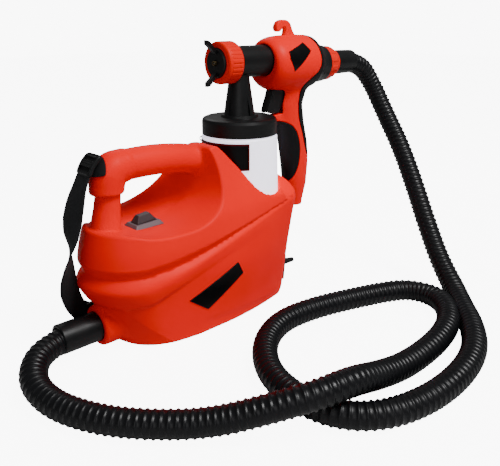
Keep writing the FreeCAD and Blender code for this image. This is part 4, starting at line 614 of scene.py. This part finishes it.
class PlaneMap:
    """A function of two numbers, worked out on a fine grid and read between its points."""

    def __init__(self, function, low, high, cell=0.8):
        self.low, self.cell = low, cell
        u, v = (np.arange(a, b + cell, cell) for a, b in zip(low, high))
        self.rows = function(u[:, None], v[None, :])

    def __call__(self, u, v):
        u, v = (u - self.low[0]) / self.cell, (v - self.low[1]) / self.cell
        i = np.clip(u.astype(int), 0, self.rows.shape[0] - 2)
        j = np.clip(v.astype(int), 0, self.rows.shape[1] - 2)
        s, t = np.clip(u - i, 0, 1), np.clip(v - j, 0, 1)
        lower = self.rows[i, j] * (1 - t) + self.rows[i, j + 1] * t
        upper = self.rows[i + 1, j] * (1 - t) + self.rows[i + 1, j + 1] * t
        return lower * (1 - s) + upper * s


def from_line(y, z, height):
    """Distance to a line along X at a height."""
    return np.sqrt(y ** 2 + (z - height) ** 2)


def from_pin(x, z, place):
    """Distance to a line along Y at a place in X and Z."""
    return np.sqrt((x - place[0]) ** 2 + (z - place[1]) ** 2)


def turned(x, z, place, angle):
    """Distances from a place in X and Z: along a line that rises at an angle, and square to it."""
    dx, dz = x - place[0], z - place[1]
    along = dx * math.cos(angle) + dz * math.sin(angle)
    return along, dz * math.cos(angle) - dx * math.sin(angle)


def layer_on(body, proud, depth, soft):
    """A layer in a body's skin, from a little proud of it to a depth in it."""
    return both(body - proud, -body - depth, soft)


def keep_posts(hollow, x, z, places, radius):
    """Leaves solid posts in a hollow for the screws."""
    for place in places:
        hollow = np.maximum(hollow, radius - from_pin(x, z, place))
    return hollow


def sink_screws(shell, x, y, z, places, radius, floor, soft):
    """Sinks a round hole for each screw's head from the far side."""
    for place in places:
        shell = both(shell, -np.maximum(from_pin(x, z, place) - radius, floor - y), soft)
    return shell


def box_distance(x, y, z, low, high):
    """Distance to a box with square corners."""
    sides = [abs(value - (a + b) / 2) - (b - a) / 2 for value, a, b in zip((x, y, z), low, high)]
    outside = np.sqrt(sum(np.maximum(side, 0) ** 2 for side in sides))
    return outside + np.minimum(np.maximum(np.maximum(sides[0], sides[1]), sides[2]), 0)


def nearest_on_route(route, radii, u, v):
    """Distance in a plane to a route, and the route's radius at the nearest place."""
    best = np.full(np.broadcast(u, v).shape, 1e9)
    radius = np.zeros(best.shape)
    for a, b, ra, rb in zip(route, route[1:], radii, radii[1:]):
        away, share = from_segment(a, b, u, v)
        nearer = away < best
        best = np.where(nearer, away, best)
        radius = np.where(nearer, ra + (rb - ra) * share, radius)
    return np.sqrt(best), radius


def side_view(points, plane, cell=0.8):
    """Distance to a smooth closed outline as seen from the side."""
    outline = rounded_outline(points)
    return PlaneMap(lambda u, v: outline_distance(outline, u, v), *plane, cell)


class FlatTube:
    """A round tube whose centre line lies in the plane where Y is zero."""

    def __init__(self, points, radii, low, high):
        route, radii = smooth_route(points, radii)
        self.away, self.radius = (
            PlaneMap(lambda u, v: nearest_on_route(route, radii, u, v)[part], low, high) for part in (0, 1))

    def __call__(self, x, y, z):
        return np.sqrt(self.away(x, z) ** 2 + y ** 2) - self.radius(x, z)


def field_slopes(field, points, step=0.3):
    """How fast a field grows along each axis at each point."""
    growth = [field(*(points + move).T) - field(*(points - move).T) for move in np.eye(3) * step]
    return np.stack(growth, axis=1) / (2 * step)


def pull_to_zero(field, points, cell):
    """Moves points toward a field's zero level, by half a cell at most."""
    slopes = field_slopes(field, points)
    steep = np.maximum(np.sum(slopes ** 2, axis=1), 0.05)
    moves = slopes * (field(*points.T) / steep)[:, None]
    lengths = np.linalg.norm(moves, axis=1)
    return points - moves * np.minimum(1, cell * 0.5 / np.maximum(lengths, 1e-9))[:, None]


CORNERS = list(np.ndindex(2, 2, 2))


def crossed_cells(inside):
    """The grid's cells that the surface runs through, and a grid with their numbers."""
    shape = np.array(inside.shape) - 1
    parts = [inside[tuple(slice(o, o + n) for o, n in zip(corner, shape))] for corner in CORNERS]
    cells = np.argwhere(np.any(parts, axis=0) & ~np.all(parts, axis=0))
    number = np.full(shape, -1)
    number[tuple(cells.T)] = np.arange(len(cells))
    return cells, number


def cell_points(values, cells):
    """The middle of the places where each cell's edges cross zero, counted in cells."""
    total = np.zeros((len(cells), 3))
    count = np.zeros(len(cells))
    for corner in CORNERS:
        for axis in range(3):
            if corner[axis]:
                continue
            step = np.eye(3, dtype=int)[axis]
            here = values[tuple((cells + corner).T)]
            there = values[tuple((cells + corner + step).T)]
            hit = (here < 0) != (there < 0)
            share = np.where(hit, here / np.where(hit, here - there, 1), 0)
            total += (np.array(corner) + step * share[:, None]) * hit[:, None]
            count += hit
    return cells + total / count[:, None]


def cell_faces(inside, number):
    """A face between the four cells round each of the grid's edges that the surface crosses."""
    shape = number.shape
    faces = []
    for axis in range(3):
        u, v = (axis + 1) % 3, (axis + 2) % 3
        hit = np.argwhere(np.diff(inside, axis=axis))
        hit = hit[(hit[:, u] > 0) & (hit[:, v] > 0) & (hit[:, u] < shape[u]) & (hit[:, v] < shape[v])]
        steps = np.zeros((4, 3), dtype=int)
        steps[:, u], steps[:, v] = (-1, 0, 0, -1), (-1, -1, 0, 0)
        quads = np.stack([number[tuple((hit + step).T)] for step in steps], axis=1)
        backward = ~inside[tuple(hit.T)]
        quads[backward] = quads[backward][:, ::-1]
        faces.append(quads)
    return np.concatenate(faces)


def skin(field, low, high, cell):
    """Meshes the zero level of a field on a grid, and pulls the points onto the true surface."""
    axes = [np.arange(a, b + cell, cell) for a, b in zip(low, high)]
    values = field(*np.ix_(*axes))
    inside = values < 0
    cells, number = crossed_cells(inside)
    points = cell_points(values, cells) * cell + np.array(low)
    for _ in range(4):
        points = pull_to_zero(field, points, cell)
    return points, cell_faces(inside, number)


def carve(name, field, low, high, cell, material, body, *replaced):
    """A piece whose skin is the zero level of a field, shaded by the field's own slope."""
    points, faces = skin(field, low, high, cell)
    piece = make_piece(name, points, faces.tolist(), material, body)
    piece.data.normals_split_custom_set_from_vertices(unit(field_slopes(field, points)).tolist())
    if replaced:
        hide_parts(*replaced)
    return piece


# Blower housing

PLAN_HEIGHTS = [2, 84, 124, 152, 236]
PLAN_NOSE = smooth_row(PLAN_HEIGHTS, [213, 249, 242, 235, 206], 10)
PLAN_NOSE_RADIUS = smooth_row(PLAN_HEIGHTS, [57, 64, 62, 58, 24], 10)
PLAN_HALF = smooth_row(PLAN_HEIGHTS, [64, 69.5, 67, 62, 28], 14)
PLAN_REAR = smooth_row(PLAN_HEIGHTS, [45.5, 54.5, 59, 63.5, 65], 14)
PLAN_REAR_HALF = smooth_row(PLAN_HEIGHTS, [48, 52, 55, 56, 24], 14)
WIDEST_X = -95.0

LINE_PLACES = [-240, -213, -189, -160, -136, -114, -86, -24, 46, 66]
GROOVE_EDGE = smooth_row(
    LINE_PLACES, [111.5, 111.8, 112.6, 115.2, 118.6, 121.6, 126.4, 136.8, 148.4, 152], 8)
GROOVE_DEEPEST = smooth_row(
    LINE_PLACES, [98.5, 98.5, 98.8, 101.4, 105.4, 110.4, 117.6, 132.2, 147, 151.4], 8)
GROOVE_DEPTH = smooth_row(LINE_PLACES, [6.5, 6.5, 6.5, 6.2, 6, 5.4, 4.6, 2.8, 1.0, 0.5], 8)
BELLY_EDGE = smooth_row(LINE_PLACES, [66, 66.2, 69, 80.5, 89.6, 96.8, 104.8, 120, 140, 147], 8)
UNDERCUT_DEPTH = smooth_row(LINE_PLACES, [5.5, 5.2, 4.6, 3.6, 3.0, 2.3, 1.4, 0.5, 0.2, 0], 8)

HOUSING_PLANE = ((-262, -16), (92, 262))
HOUSING_SIDE = side_view([
    (-300, 151.5), (-240, 151.5), (-224, 151.5), (-210, 149), (-193, 144.5), (-175, 142), (-155, 141.6),
    (-135, 142.4), (-117, 146.5), (-101, 154), (-89, 164), (-80.5, 178), (-76.8, 192), (-76, 206),
    (-78, 218), (-80, 226), (-76, 230.5), (-67, 229.5), (-58, 222), (-47, 210), (-36, 199), (-24, 188),
    (-12, 177.5), (-1, 168), (9, 161.5), (20, 160), (31, 162.5), (42, 168.5), (54, 173), (68, 176),
    (110, 180), (110, -60), (-300, -60),
], HOUSING_PLANE)
HANDLE = FlatTube(
    [(-56, 207), (-80, 211.5), (-108, 216.5), (-138, 219.3), (-168, 219.8), (-186, 218.6), (-199, 213.5),
     (-204.5, 203.5), (-205.6, 190), (-208.4, 172), (-211.8, 152), (-214, 136)],
    [18, 18, 18, 18.2, 18.2, 18, 17, 15.6, 14.6, 15.6, 17.6, 18.2], *HOUSING_PLANE,
)
HANDLE_HEAD = FlatTube(
    [(-184, 219.5), (-196.5, 217), (-203.6, 210.5), (-206.2, 198.5), (-206.8, 193)],
    [19.4, 20.8, 21.2, 20.2, 20.0], *HOUSING_PLANE,
)
HOUSING_WALL = 4.4
OUTLET_HEIGHT = 31
CRADLE_RADIUS = 54.4
CRADLE_FLOOR = 127.4
SWITCH_HOLE = ((-173.7, -8.2, 120), (-146.3, 8.2, 160))
REAR_LEAN = math.atan2(8, 82)
REAR_FOOT = (42 + 19 * math.tan(REAR_LEAN), 21)
REAR_HOLE = ((-16, -36.2, 3.8), (12, 36.2, 32.2))
SCREW_PLACES = [(-205, 120), (-205, 66), (-92, 14), (30, 14), (34, 108), (-96, 126)]


def plan_distance(x, y, z):
    """Distance to the housing's outline as seen from above, at each height."""
    nose, radius, half = PLAN_NOSE(z), PLAN_NOSE_RADIUS(z), PLAN_HALF(z)
    rear, rear_half = PLAN_REAR(z), PLAN_REAR_HALF(z)
    wide = np.sqrt(y ** 2 + 0.01)
    nose_centre = radius - nose
    reach = nose_centre - WIDEST_X
    side_radius = (reach ** 2 + half ** 2 - radius ** 2) / (2 * (half - radius))
    side_centre = half - side_radius
    to_nose = np.sqrt((x - nose_centre) ** 2 + wide ** 2) - radius
    rear_length, sag = rear - 13 - WIDEST_X, half - rear_half
    rear_radius = (rear_length ** 2 + sag ** 2) / (2 * sag)
    bend = np.where(x < WIDEST_X, side_radius, rear_radius)
    to_side = np.sqrt((x - WIDEST_X) ** 2 + (wide - half + bend) ** 2) - bend
    past_touch = reach * (wide - side_centre) + side_centre * (x - WIDEST_X) > 0
    flank = np.where((x < WIDEST_X) & past_touch, to_nose, to_side)
    return both(flank, x - rear, 15.0)


def band_inset(x, z):
    """How far the sweeping bands and hollows lie inside the plain outline."""
    edge, deepest, depth = GROOVE_EDGE(x), GROOVE_DEEPEST(x), GROOVE_DEPTH(x)
    low, undercut = BELLY_EDGE(x), UNDERCUT_DEPTH(x)
    crest = deepest - 0.52 * (deepest - low)
    upper = ease((edge - z) / np.maximum(edge - deepest, 0.5) * 0.8 + 0.1) - ease(0.1)
    lower = 1 - np.sin(np.clip((deepest - z) / np.maximum(deepest - crest, 0.5), 0, 1) * math.pi / 2)
    groove = depth * np.where(z > deepest, np.clip(upper / (ease(0.9) - ease(0.1)), 0, 1), lower)
    swell = 1.6 * np.clip((z - edge) / 40, 0, 1) ** 2 * ease((-40 - x) / 80)
    roll = np.clip((crest - z) / np.maximum(crest - low, 0.5), 0, 1) ** 2 * undercut * 0.3
    under = low - z
    step = undercut * 0.7 * ease(under / 9) * (1 - 0.75 * ease((under - 12) / 45))
    front = np.maximum(-0.684 * (x + 191) - 0.73 * (z - 29), 0)
    wedge = 5.0 * (1 - np.exp(-front / 15)) * ease((under - 2) / 10)
    tuck = 1.5 * ease((21.5 - 0.08 * (x + 60) - z) / 12) * ease((x + 130) / 30)
    return groove + swell + roll + step + wedge + tuck


def housing_body(x, y, z):
    """The housing's outside without its openings."""
    plan = plan_distance(x, y, z) + band_inset(x, z)
    forward = ease((-45 - x) / 35)
    lift = 14.5 * ease((y - 12) / 38) * forward * ease((x + 210) / 34)
    sweep = (0.0022 - 0.0095 * ease(y / 45)) * y ** 2 * forward
    side = HOUSING_SIDE(x - sweep, z - lift)
    rim = 3.6 + 5 * ease((x + 60) / 30)
    body = both(plan, side, rim)
    body = both(body, z - 231.5 + 8 * ease((y - 4) / 18), 4.0)
    arch = z - 172 + 23 * (y / 56) ** 2 - 1.4 * np.maximum(36 - x, 0)
    body = both(body, arch, 6.0)
    body = both(body, 1.4 - z, 3.5)
    head = both(HANDLE_HEAD(x, y, z), 190.5 - z, 3.0)
    post = 4.5 * ease((168 - z) / 15) * ease((-185 - x) / 15)
    body = either(body, np.minimum(HANDLE(x, y, z), head), 7.0 - post)
    collar = both(from_line(y, z, OUTLET_HEIGHT) - 25, abs(x + 205) - 31, 5.0)
    body = either(body, collar, 7.0)
    cradle = np.maximum(np.sqrt(x ** 2 + y ** 2) - CRADLE_RADIUS, CRADLE_FLOOR - z)
    return both(body, -cradle, 2.5)


def housing_field(x, y, z):
    """The housing as a hollow shell with its openings and screw bosses."""
    body = housing_body(x, y, z)
    beside = ease((z - GROOVE_DEEPEST(x) + 16) / 10) * ease((GROOVE_EDGE(x) + 8 - z) / 8)
    wall = HOUSING_WALL + 4 * ease((y - 15) / 20) * ease((z - 138) / 20)
    hollow = np.maximum(body, plan_distance(x, y, z) + GROOVE_DEPTH(x) * beside) + wall
    hollow = keep_posts(hollow, x, z, SCREW_PLACES, 5)
    shell = sink_screws(np.maximum(body, -hollow), x, y, z, SCREW_PLACES, 3.5, 14, 0.8)
    around_outlet = from_line(y, z, OUTLET_HEIGHT)
    for bore, end in ((18.2, -214), (14.8, -190)):
        shell = both(shell, -np.maximum(around_outlet - bore, x - end), 1.0)
    shell = np.maximum(shell, -box_distance(x, y, z, *SWITCH_HOLE))
    return np.maximum(shell, -rear_window(x, y, z))


def rear_window(x, y, z):
    """The opening in the leaning rear wall behind the rear panel."""
    out, rise = turned(x, z, REAR_FOOT, -REAR_LEAN)
    return box_distance(out, y, rise, *REAR_HOLE)


def make_housing():
    carve("blower_housing", housing_field, (-255, -74, -3), (71, 74, 246), 2.2, "housing_red", "base",
          "housing_near", "housing_far")


PLATE_OUTLINE = [(-143, 55), (-66, 86), (-56, 68), (-115, 35)]


def side_plate_field(x, y, z):
    """A bare slanted plate, which follows the side wall."""
    layer = layer_on(housing_body(x, y, z), 0.9, 1.2, 0.4)
    return both(layer, outline_distance(PLATE_OUTLINE, x, z), 0.7)


def make_plates():
    carve("far_side_plate", side_plate_field, (-146, 52, 32), (-53, 72, 89), 0.9, "plate_black", "base",
          "base_plates")
    carve("near_side_plate", side_plate_field, (-146, -72, 32), (-53, -52, 89), 0.9, "plate_black",
          "base")


# Strap's band and buckle

BUCKLE_PLACE = (-227.2, 227.6)
BUCKLE_LEAN = math.radians(52)


def band_field(x, y, z):
    """Webbing round the corner of the handle's head, which runs through the buckle."""
    layer = layer_on(housing_body(x, y, z), 2.0, 0.6, 0.5)
    ends = both(x + 213.5 - 0.3 * (z - 226), 214.5 - z + 0.25 * (x + 222), 1.5)
    along, through = turned(x, z, BUCKLE_PLACE, BUCKLE_LEAN)
    sides = both(abs(along - 1) - 13, abs(y) - 11, 1.0)
    threaded = both(abs(through + 1.2) - 0.9, sides, 0.5)
    return either(both(layer, ends, 0.8), threaded, 0.8)


def buckle_field(x, y, z):
    """A ladder buckle: a rounded frame with a ribbed middle bar and two slots."""
    along, through = turned(x, z, BUCKLE_PLACE, BUCKLE_LEAN)
    edge = both(abs(along) - 13.5, abs(y) - 14.2, 4.0)
    ribs = np.where(abs(y) < 10, 0.4 * np.sin(along * 2.1), 0)
    plate = both(edge, abs(through + 0.012 * along ** 2) - 2.3 - ribs, 1.4)
    for offset in (-6.2, 6.2):
        plate = both(plate, -np.maximum(abs(along - offset) - 2.2, abs(y) - 11.2), 0.8)
    return plate


def make_band_and_buckle():
    carve("webbing_band", band_field, (-236, -26, 210), (-208, 26, 244), 0.9, "webbing", "base",
          "strap_loop")
    return carve("ladder_buckle", buckle_field, (-242, -16, 213), (-212, 16, 242), 0.8, "black_plastic",
                 "base", "strap_buckle")


# Power switch

SWITCH_X = -160.0
DECK_FLOOR = 142.0
ROCKER_TILT = math.radians(6)


def bezel_field(x, y, z):
    """A bezel with sloping outer faces and a square opening, a little higher toward the gun."""
    rise = z - DECK_FLOOR - 0.035 * (x - SWITCH_X)
    along, across = abs(x - SWITCH_X), abs(y)
    lean = 0.7 * np.maximum(rise, 0)
    outer = both(along - 20.3 + lean, across - 14.2 + lean, 1.2)
    block = both(outer, abs(rise - 1) - 4.0, 0.8)
    inner = both(along - 14.2, across - 8.6, 0.8)
    return both(block, -inner, 0.6)


def rocker_field(x, y, z):
    """A raised rocker: a flat-topped pyramid on a square foot, at rest tipped to one side."""
    along, rise = turned(x, z, (SWITCH_X, DECK_FLOOR + 3), ROCKER_TILT)
    slope = np.clip((rise - 3) / 8, 0, 1)
    sides = both(abs(along) - 13.2 + 5.2 * slope, abs(y) - 7.8 + 3.8 * slope, 0.9)
    dish = 0.006 * along ** 2
    return both(sides, abs(rise - 5.2) - 5.8 - dish * (rise > 5), 0.8)


def make_switch():
    carve("switch_bezel", bezel_field, (-184, -17, 136), (-136, 17, 150), 0.8, "switch_grey", "base",
          "switch_frame")
    carve("switch_rocker_cap", rocker_field, (-176, -10, 141), (-144, 10, 160), 0.7, "grey_plastic",
          "rocker", "switch_rocker")


# Trigger's outline, which the gun's slot follows

TRIGGER_PIVOT = (74, 344)
TRIGGER_SIDE = side_view(np.array([
    (-17.4, -57), (-19.6, -64), (-22.8, -72), (-25.8, -80), (-27.2, -86), (-24, -88.6), (-14, -89.2),
    (-5, -89.6), (-3.6, -87), (0, -80), (3.4, -73), (7.8, -63), (8.8, -55), (6.4, -44), (6, -20), (6, 2),
    (3.6, 6.6), (0, 8), (-3, 7.6), (-5.4, 4), (-6, -20), (-7.6, -40), (-12, -50),
]) + TRIGGER_PIVOT, ((30, 240), (100, 362)), 0.5)


# Spray gun

HEAD_HEIGHT = 321.0
TAIL_HEIGHT = 317.0
HEAD_REAR = 127.6
BARREL_HEIGHT = 326.0
HEAD_RADIUS = smooth_row(
    [38, 43, 46, 50, 55, 62, 78, 95, 108, 120, 130, 140, 150],
    [24, 27, 30.2, 32.9, 34.6, 35.7, 36.7, 37.2, 37, 36.2, 34.8, 30, 26], 4,
)
GRIP_HEIGHTS = [112, 116, 122, 146, 178, 208, 238, 264, 284, 302, 316]
GRIP_FRONT = smooth_row(GRIP_HEIGHTS, [95.5, 95.8, 95.5, 93, 88, 82, 74, 70, 77, 66, 58], 6)
GRIP_BACK = smooth_row(GRIP_HEIGHTS, [120, 121, 122.5, 130.5, 133.5, 130, 122, 117.5, 124, 136, 140], 6)
GRIP_HALF = smooth_row(GRIP_HEIGHTS, [16, 15.4, 15.4, 17, 18, 18, 17.2, 17.2, 19, 21, 22], 6)
GUN_PLANE = ((24, 96), (190, 392))
NUB_SIDE = side_view([
    (90, 258), (80, 254.4), (70, 252.8), (62, 252.3), (58.4, 250.6), (57.6, 248.2), (60, 245), (66, 243),
    (76, 239), (92, 232),
], GUN_PLANE)
HOOK_SIDE = side_view([
    (82.4, 348), (82.6, 355), (84, 361), (84.4, 365.4), (82.6, 368.4), (79, 369.2), (75.8, 367.8),
    (74.2, 364.8), (71.6, 363.2), (68.4, 363.2), (66.2, 365.6), (66.4, 369.4), (69, 373.2), (73.4, 375.6),
    (79, 376.2), (85.4, 375.6), (90.6, 372.8), (93.6, 368.4), (96.4, 362.8), (100.6, 358), (106, 354.4),
    (110, 350), (110, 345), (96, 343), (84, 343),
], GUN_PLANE, 0.4)
PAD_SIDE = side_view([
    (40, 244), (52, 243.6), (64, 243.4), (77, 241.6), (88.4, 235.6), (97.2, 224.5), (102.6, 209),
    (104, 193), (102.4, 176), (98, 161), (91.5, 150.5), (82, 146.8), (60, 146), (40, 146),
], GUN_PLANE)
STRIP_SIDE = side_view([
    (118, 366), (119.5, 356), (121.8, 345), (123.2, 334), (123.8, 325), (122.6, 316.5), (118.8, 309.6),
    (113, 304.6), (106.8, 299.6), (103.2, 294.4), (100.8, 287.6), (98.8, 279), (98, 267), (99.6, 248),
    (104, 234), (109.2, 221), (114.6, 203), (121, 190), (129, 182), (138, 178.6), (150, 178), (176, 182),
    (180, 240), (176, 366),
], GUN_PLANE)
DIAMOND = [(93.5, 348.4), (102, 337.5), (69, 312), (56, 336)]
GUN_WALL = 3.4
GUN_SCREWS = [(132, 342), (63, 350), (110, 262), (118, 200), (112, 130)]


def head_distance(x, y, z):
    """Distance to the gun's round head."""
    head = from_line(y, z, HEAD_HEIGHT) - HEAD_RADIUS(x)
    head = both(head, 43.4 - x, 3.0)
    return both(head, x - HEAD_REAR, 1.0)


def grip_distance(x, y, z):
    """Distance to the grip, which is an ellipse at each height."""
    front, back, half = GRIP_FRONT(z), GRIP_BACK(z), GRIP_HALF(z)
    reach = (back - front) / 2
    across, beside = (x - (front + back) / 2) / reach, y / half
    size = np.maximum(np.sqrt(across ** 2 + beside ** 2), 0.05)
    steep = np.sqrt((across / reach) ** 2 + (beside / half) ** 2) / size
    grip = (size - 1) / np.maximum(steep, 0.02)
    return both(both(grip, 114.2 - z, 2.0), z - 312, 4.0)


def gun_outside(x, y, z):
    """The gun's outside: its head, its grip and the nub over the trigger finger."""
    gun = either(head_distance(x, y, z), grip_distance(x, y, z), 7.0)
    nub = both(NUB_SIDE(x, z), abs(y) - 8, 3.0)
    return either(gun, nub, 4.0)


def gun_field(x, y, z):
    """The gun's two shells as one hollow skin, with its slot and holes."""
    outside = gun_outside(x, y, z)
    hollow = keep_posts(outside + GUN_WALL, x, z, GUN_SCREWS, 4)
    gun = np.maximum(outside, -hollow)
    gun = both(gun, -np.maximum(from_line(y, z, BARREL_HEIGHT) - 20.4, x - 58), 2.2)
    gun = both(gun, -np.maximum(from_line(y, z, TAIL_HEIGHT) - 19.5, 118 - x), 0.8)
    behind = np.maximum(abs(x - 85) - 15, abs(z - 277) - 24)
    slot = np.maximum(np.minimum(TRIGGER_SIDE(x, z) - 1.2, behind), abs(y) - 8.4)
    gun = both(gun, -slot, 0.8)
    gun = sink_screws(gun, x, y, z, GUN_SCREWS, 2.9, 7, 0.6)
    sunk = np.minimum(PAD_SIDE(x, z), STRIP_SIDE(x, z))
    return both(gun, -np.maximum(sunk, -1.2 - outside), 0.5)


def soft_layer(side):
    """A soft skin inside an outline, let into the grip and standing a little proud of it."""
    def field(x, y, z):
        layer = layer_on(gun_outside(x, y, z), 0.5, 1.1, 0.6)
        return both(layer, side(x, z) + 0.25, 1.6)
    return field


def hook_field(x, y, z):
    """The hook that the gun hangs by."""
    hook = both(HOOK_SIDE(x, z) - 1.2, abs(y) - 4.6, 2.6)
    return np.maximum(hook, -head_distance(x, y, z) - 1.0)


def diamond_field(x, y, z):
    """A bare slanted plate on each side of the head."""
    layer = layer_on(head_distance(x, y, z), 0.8, 0.9, 0.4)
    return both(layer, outline_distance(DIAMOND, x, z), 0.8)


def make_gun_body():
    carve("gun_shell", gun_field, (40, -40, 111), (153, 40, 361), 1.5, "red_plastic", "gun",
          "gun_body_near", "gun_body_far")
    carve("soft_grip_pad", soft_layer(PAD_SIDE), (66, -21, 142), (110, 21, 247), 1.0, "soft_black",
          "gun", "grip_pad")
    carve("soft_back_strip", soft_layer(STRIP_SIDE), (94, -39, 175), (142, 39, 361), 1.0, "soft_black",
          "gun", "grip_back_strip")
    carve("curled_hook", hook_field, (62, -6, 344), (114, 6, 380), 0.9, "red_plastic", "gun",
          "hanging_hook")
    carve("near_diamond", diamond_field, (60, -38, 307), (112, -8, 352), 0.9, "plate_black", "gun",
          "gun_plates")
    carve("far_diamond", diamond_field, (60, 8, 307), (112, 38, 352), 0.9, "plate_black", "gun")


# Trigger

def trigger_field(x, y, z):
    """A finger blade with a slightly hollow front, and a lever that runs up to its pin."""
    hollow_front = 1.2 * np.clip(1 - (y / 6) ** 2, 0, 1) * ease((62 - x) / 6) * ease((284 - z) / 8)
    blade = both(TRIGGER_SIDE(x, z) + hollow_front, abs(y) - 7.5, 2.2)
    pin = from_pin(x, z, TRIGGER_PIVOT) - 2.1
    slot = np.maximum(abs(y) - 2.2, abs(z - BARREL_HEIGHT) - 7)
    return np.maximum(np.maximum(blade, -pin), -slot)


def make_trigger():
    carve("trigger_blade", trigger_field, (44, -9, 252), (86, 9, 354), 1.0, "black_plastic",
          "trigger_lever", "trigger")


# Tail of the gun, where the hose comes in

TAIL_RADIUS = smooth_row([124, 129, 134, 141, 150, 161], [34.6, 34.2, 32, 28.8, 26.4, 25.4], 4)
RING_RADIUS = smooth_row([157, 161, 173, 177, 182, 187], [24.6, 24.8, 24.2, 23.2, 20.6, 19.2], 2)
CUFF_RADIUS = smooth_row([181, 190, 200, 215, 234], [16.6, 17.2, 17.4, 17.2, 16.8], 3)


def tail_field(x, y, z):
    """The collar that closes the head's rear and drops toward the swivel ring."""
    height = HEAD_HEIGHT + (TAIL_HEIGHT - HEAD_HEIGHT) * ease((x - 130) / 24)
    collar = both(from_line(y, z, height) - TAIL_RADIUS(x), abs(x - 143.3) - 16.8, 1.2)
    return both(collar, 17.5 - from_line(y, z, TAIL_HEIGHT), 0.6)


def ring_field(x, y, z):
    """The swivel ring, with shallow flats round it to grip."""
    around = from_line(y, z, TAIL_HEIGHT)
    turn = np.arctan2(z - TAIL_HEIGHT, y)
    flat = np.clip(np.cos(turn * 12) * 2.0 + 0.4, 0, 1)
    flats = 0.9 * flat * ease((x - 162.5) / 1.5) * ease((179 - x) / 3)
    ring = both(around - RING_RADIUS(x) + flats, abs(x - 172.9) - 12.8, 1.2)
    return both(ring, 17 - around, 0.6)


def gun_cuff_field(x, y, z):
    """The plain sleeve on the hose's end."""
    around = from_line(y, z, TAIL_HEIGHT)
    cuff = both(around - CUFF_RADIUS(x), abs(x - 208) - 24.4, 1.5)
    return both(cuff, 14.2 - around, 0.6)


def make_tail():
    carve("tail_cone", tail_field, (125, -37, 283), (162, 37, 359), 1.2, "black_plastic", "gun",
          "tail_collar")
    carve("gripped_swivel", ring_field, (158, -26, 291), (188, 26, 343), 1.0, "bright_red_plastic",
          "swivel", "swivel_ring")
    return carve("gun_cuff", gun_cuff_field, (181, -19, 298), (234, 19, 336), 1.2, "black_plastic",
                 "gun", "gun_hose_cuff")


# Lock nut

NUT_FRONT = -38.5


def nut_field(x, y, z):
    """The lock nut: a rounded front flange, then a band of flat square ribs."""
    away = from_line(y, z, BARREL_HEIGHT)
    turn = np.arctan2(z - BARREL_HEIGHT, y)
    line = np.clip((np.cos(turn * 30) - 0.6) * 4, 0, 1)
    ribs = 0.9 * line * ease((x + 32.8) / 0.8) * ease((-15.6 - x) / 0.8)
    seam = 0.55 * np.exp(-((x + 33.6) / 0.6) ** 2)
    outer = both(away - 26.3 + ribs + seam, NUT_FRONT - x + 0.1 * (away - 18), 3.4)
    ring = both(outer, x + 14.5, 1.4)
    bore = np.where(x < -36, away - 18.4, away - 20.2)
    return both(ring, -bore, 0.6)


def make_nut():
    carve("ribbed_lock_nut", nut_field, (-40, -27, 299), (-12, 27, 353), 0.8, "bright_red_plastic",
          "nut", "lock_nut")


# Paint container's plate

PLATE_RADIUS = 53.6
PLATE_SPREAD = math.radians(61)
PLATE_LOW, PLATE_HIGH = 194.5, 228.5
BORDER_WIDTH = 1.7


def curved_bar(turn_range, height_range):
    """Points and faces of a thin bar that bends round the container."""
    inner, outer = PLATE_RADIUS - 0.4, PLATE_RADIUS
    turns = np.linspace(*turn_range, max(2, int((turn_range[1] - turn_range[0]) * 30)))
    points = []
    for turn in turns:
        for radius, height in ((inner, 0), (outer, 0), (outer, 1), (inner, 1)):
            points.append((-radius * math.cos(turn), radius * math.sin(turn), height_range[height]))
    return points, capped_faces(len(turns), 4)


def make_plate_border():
    """A dark red line round the edge of the container's bare plate."""
    side = BORDER_WIDTH / PLATE_RADIUS
    inside = (PLATE_LOW + BORDER_WIDTH, PLATE_HIGH - BORDER_WIDTH)
    whole = (-PLATE_SPREAD, PLATE_SPREAD)
    bars = [
        (whole, (PLATE_LOW, inside[0])),
        (whole, (inside[1], PLATE_HIGH)),
        ((-PLATE_SPREAD, side - PLATE_SPREAD), inside),
        ((PLATE_SPREAD - side, PLATE_SPREAD), inside),
    ]
    points, faces = [], []
    for turn_range, height_range in bars:
        more, sides = curved_bar(turn_range, height_range)
        faces.extend(tuple(corner + len(points) for corner in side_face) for side_face in sides)
        points.extend(more)
    border = make_piece("plate_border", points, faces, "plate_border", "cup", smooth=False)


# Needle spring, which gets a mesh of its own


def let_the_spring_shorten():
    spring = frame["nodes"]["needle_spring"]
    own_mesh(spring)


make_camera()
make_studio()
make_housing()
make_plates()
make_switch()
make_gun_body()
make_trigger()
make_nut()
make_hose(make_tail())
make_strap(make_band_and_buckle())
make_plate_border()
dress_cad_nodes()
let_the_spring_shorten()
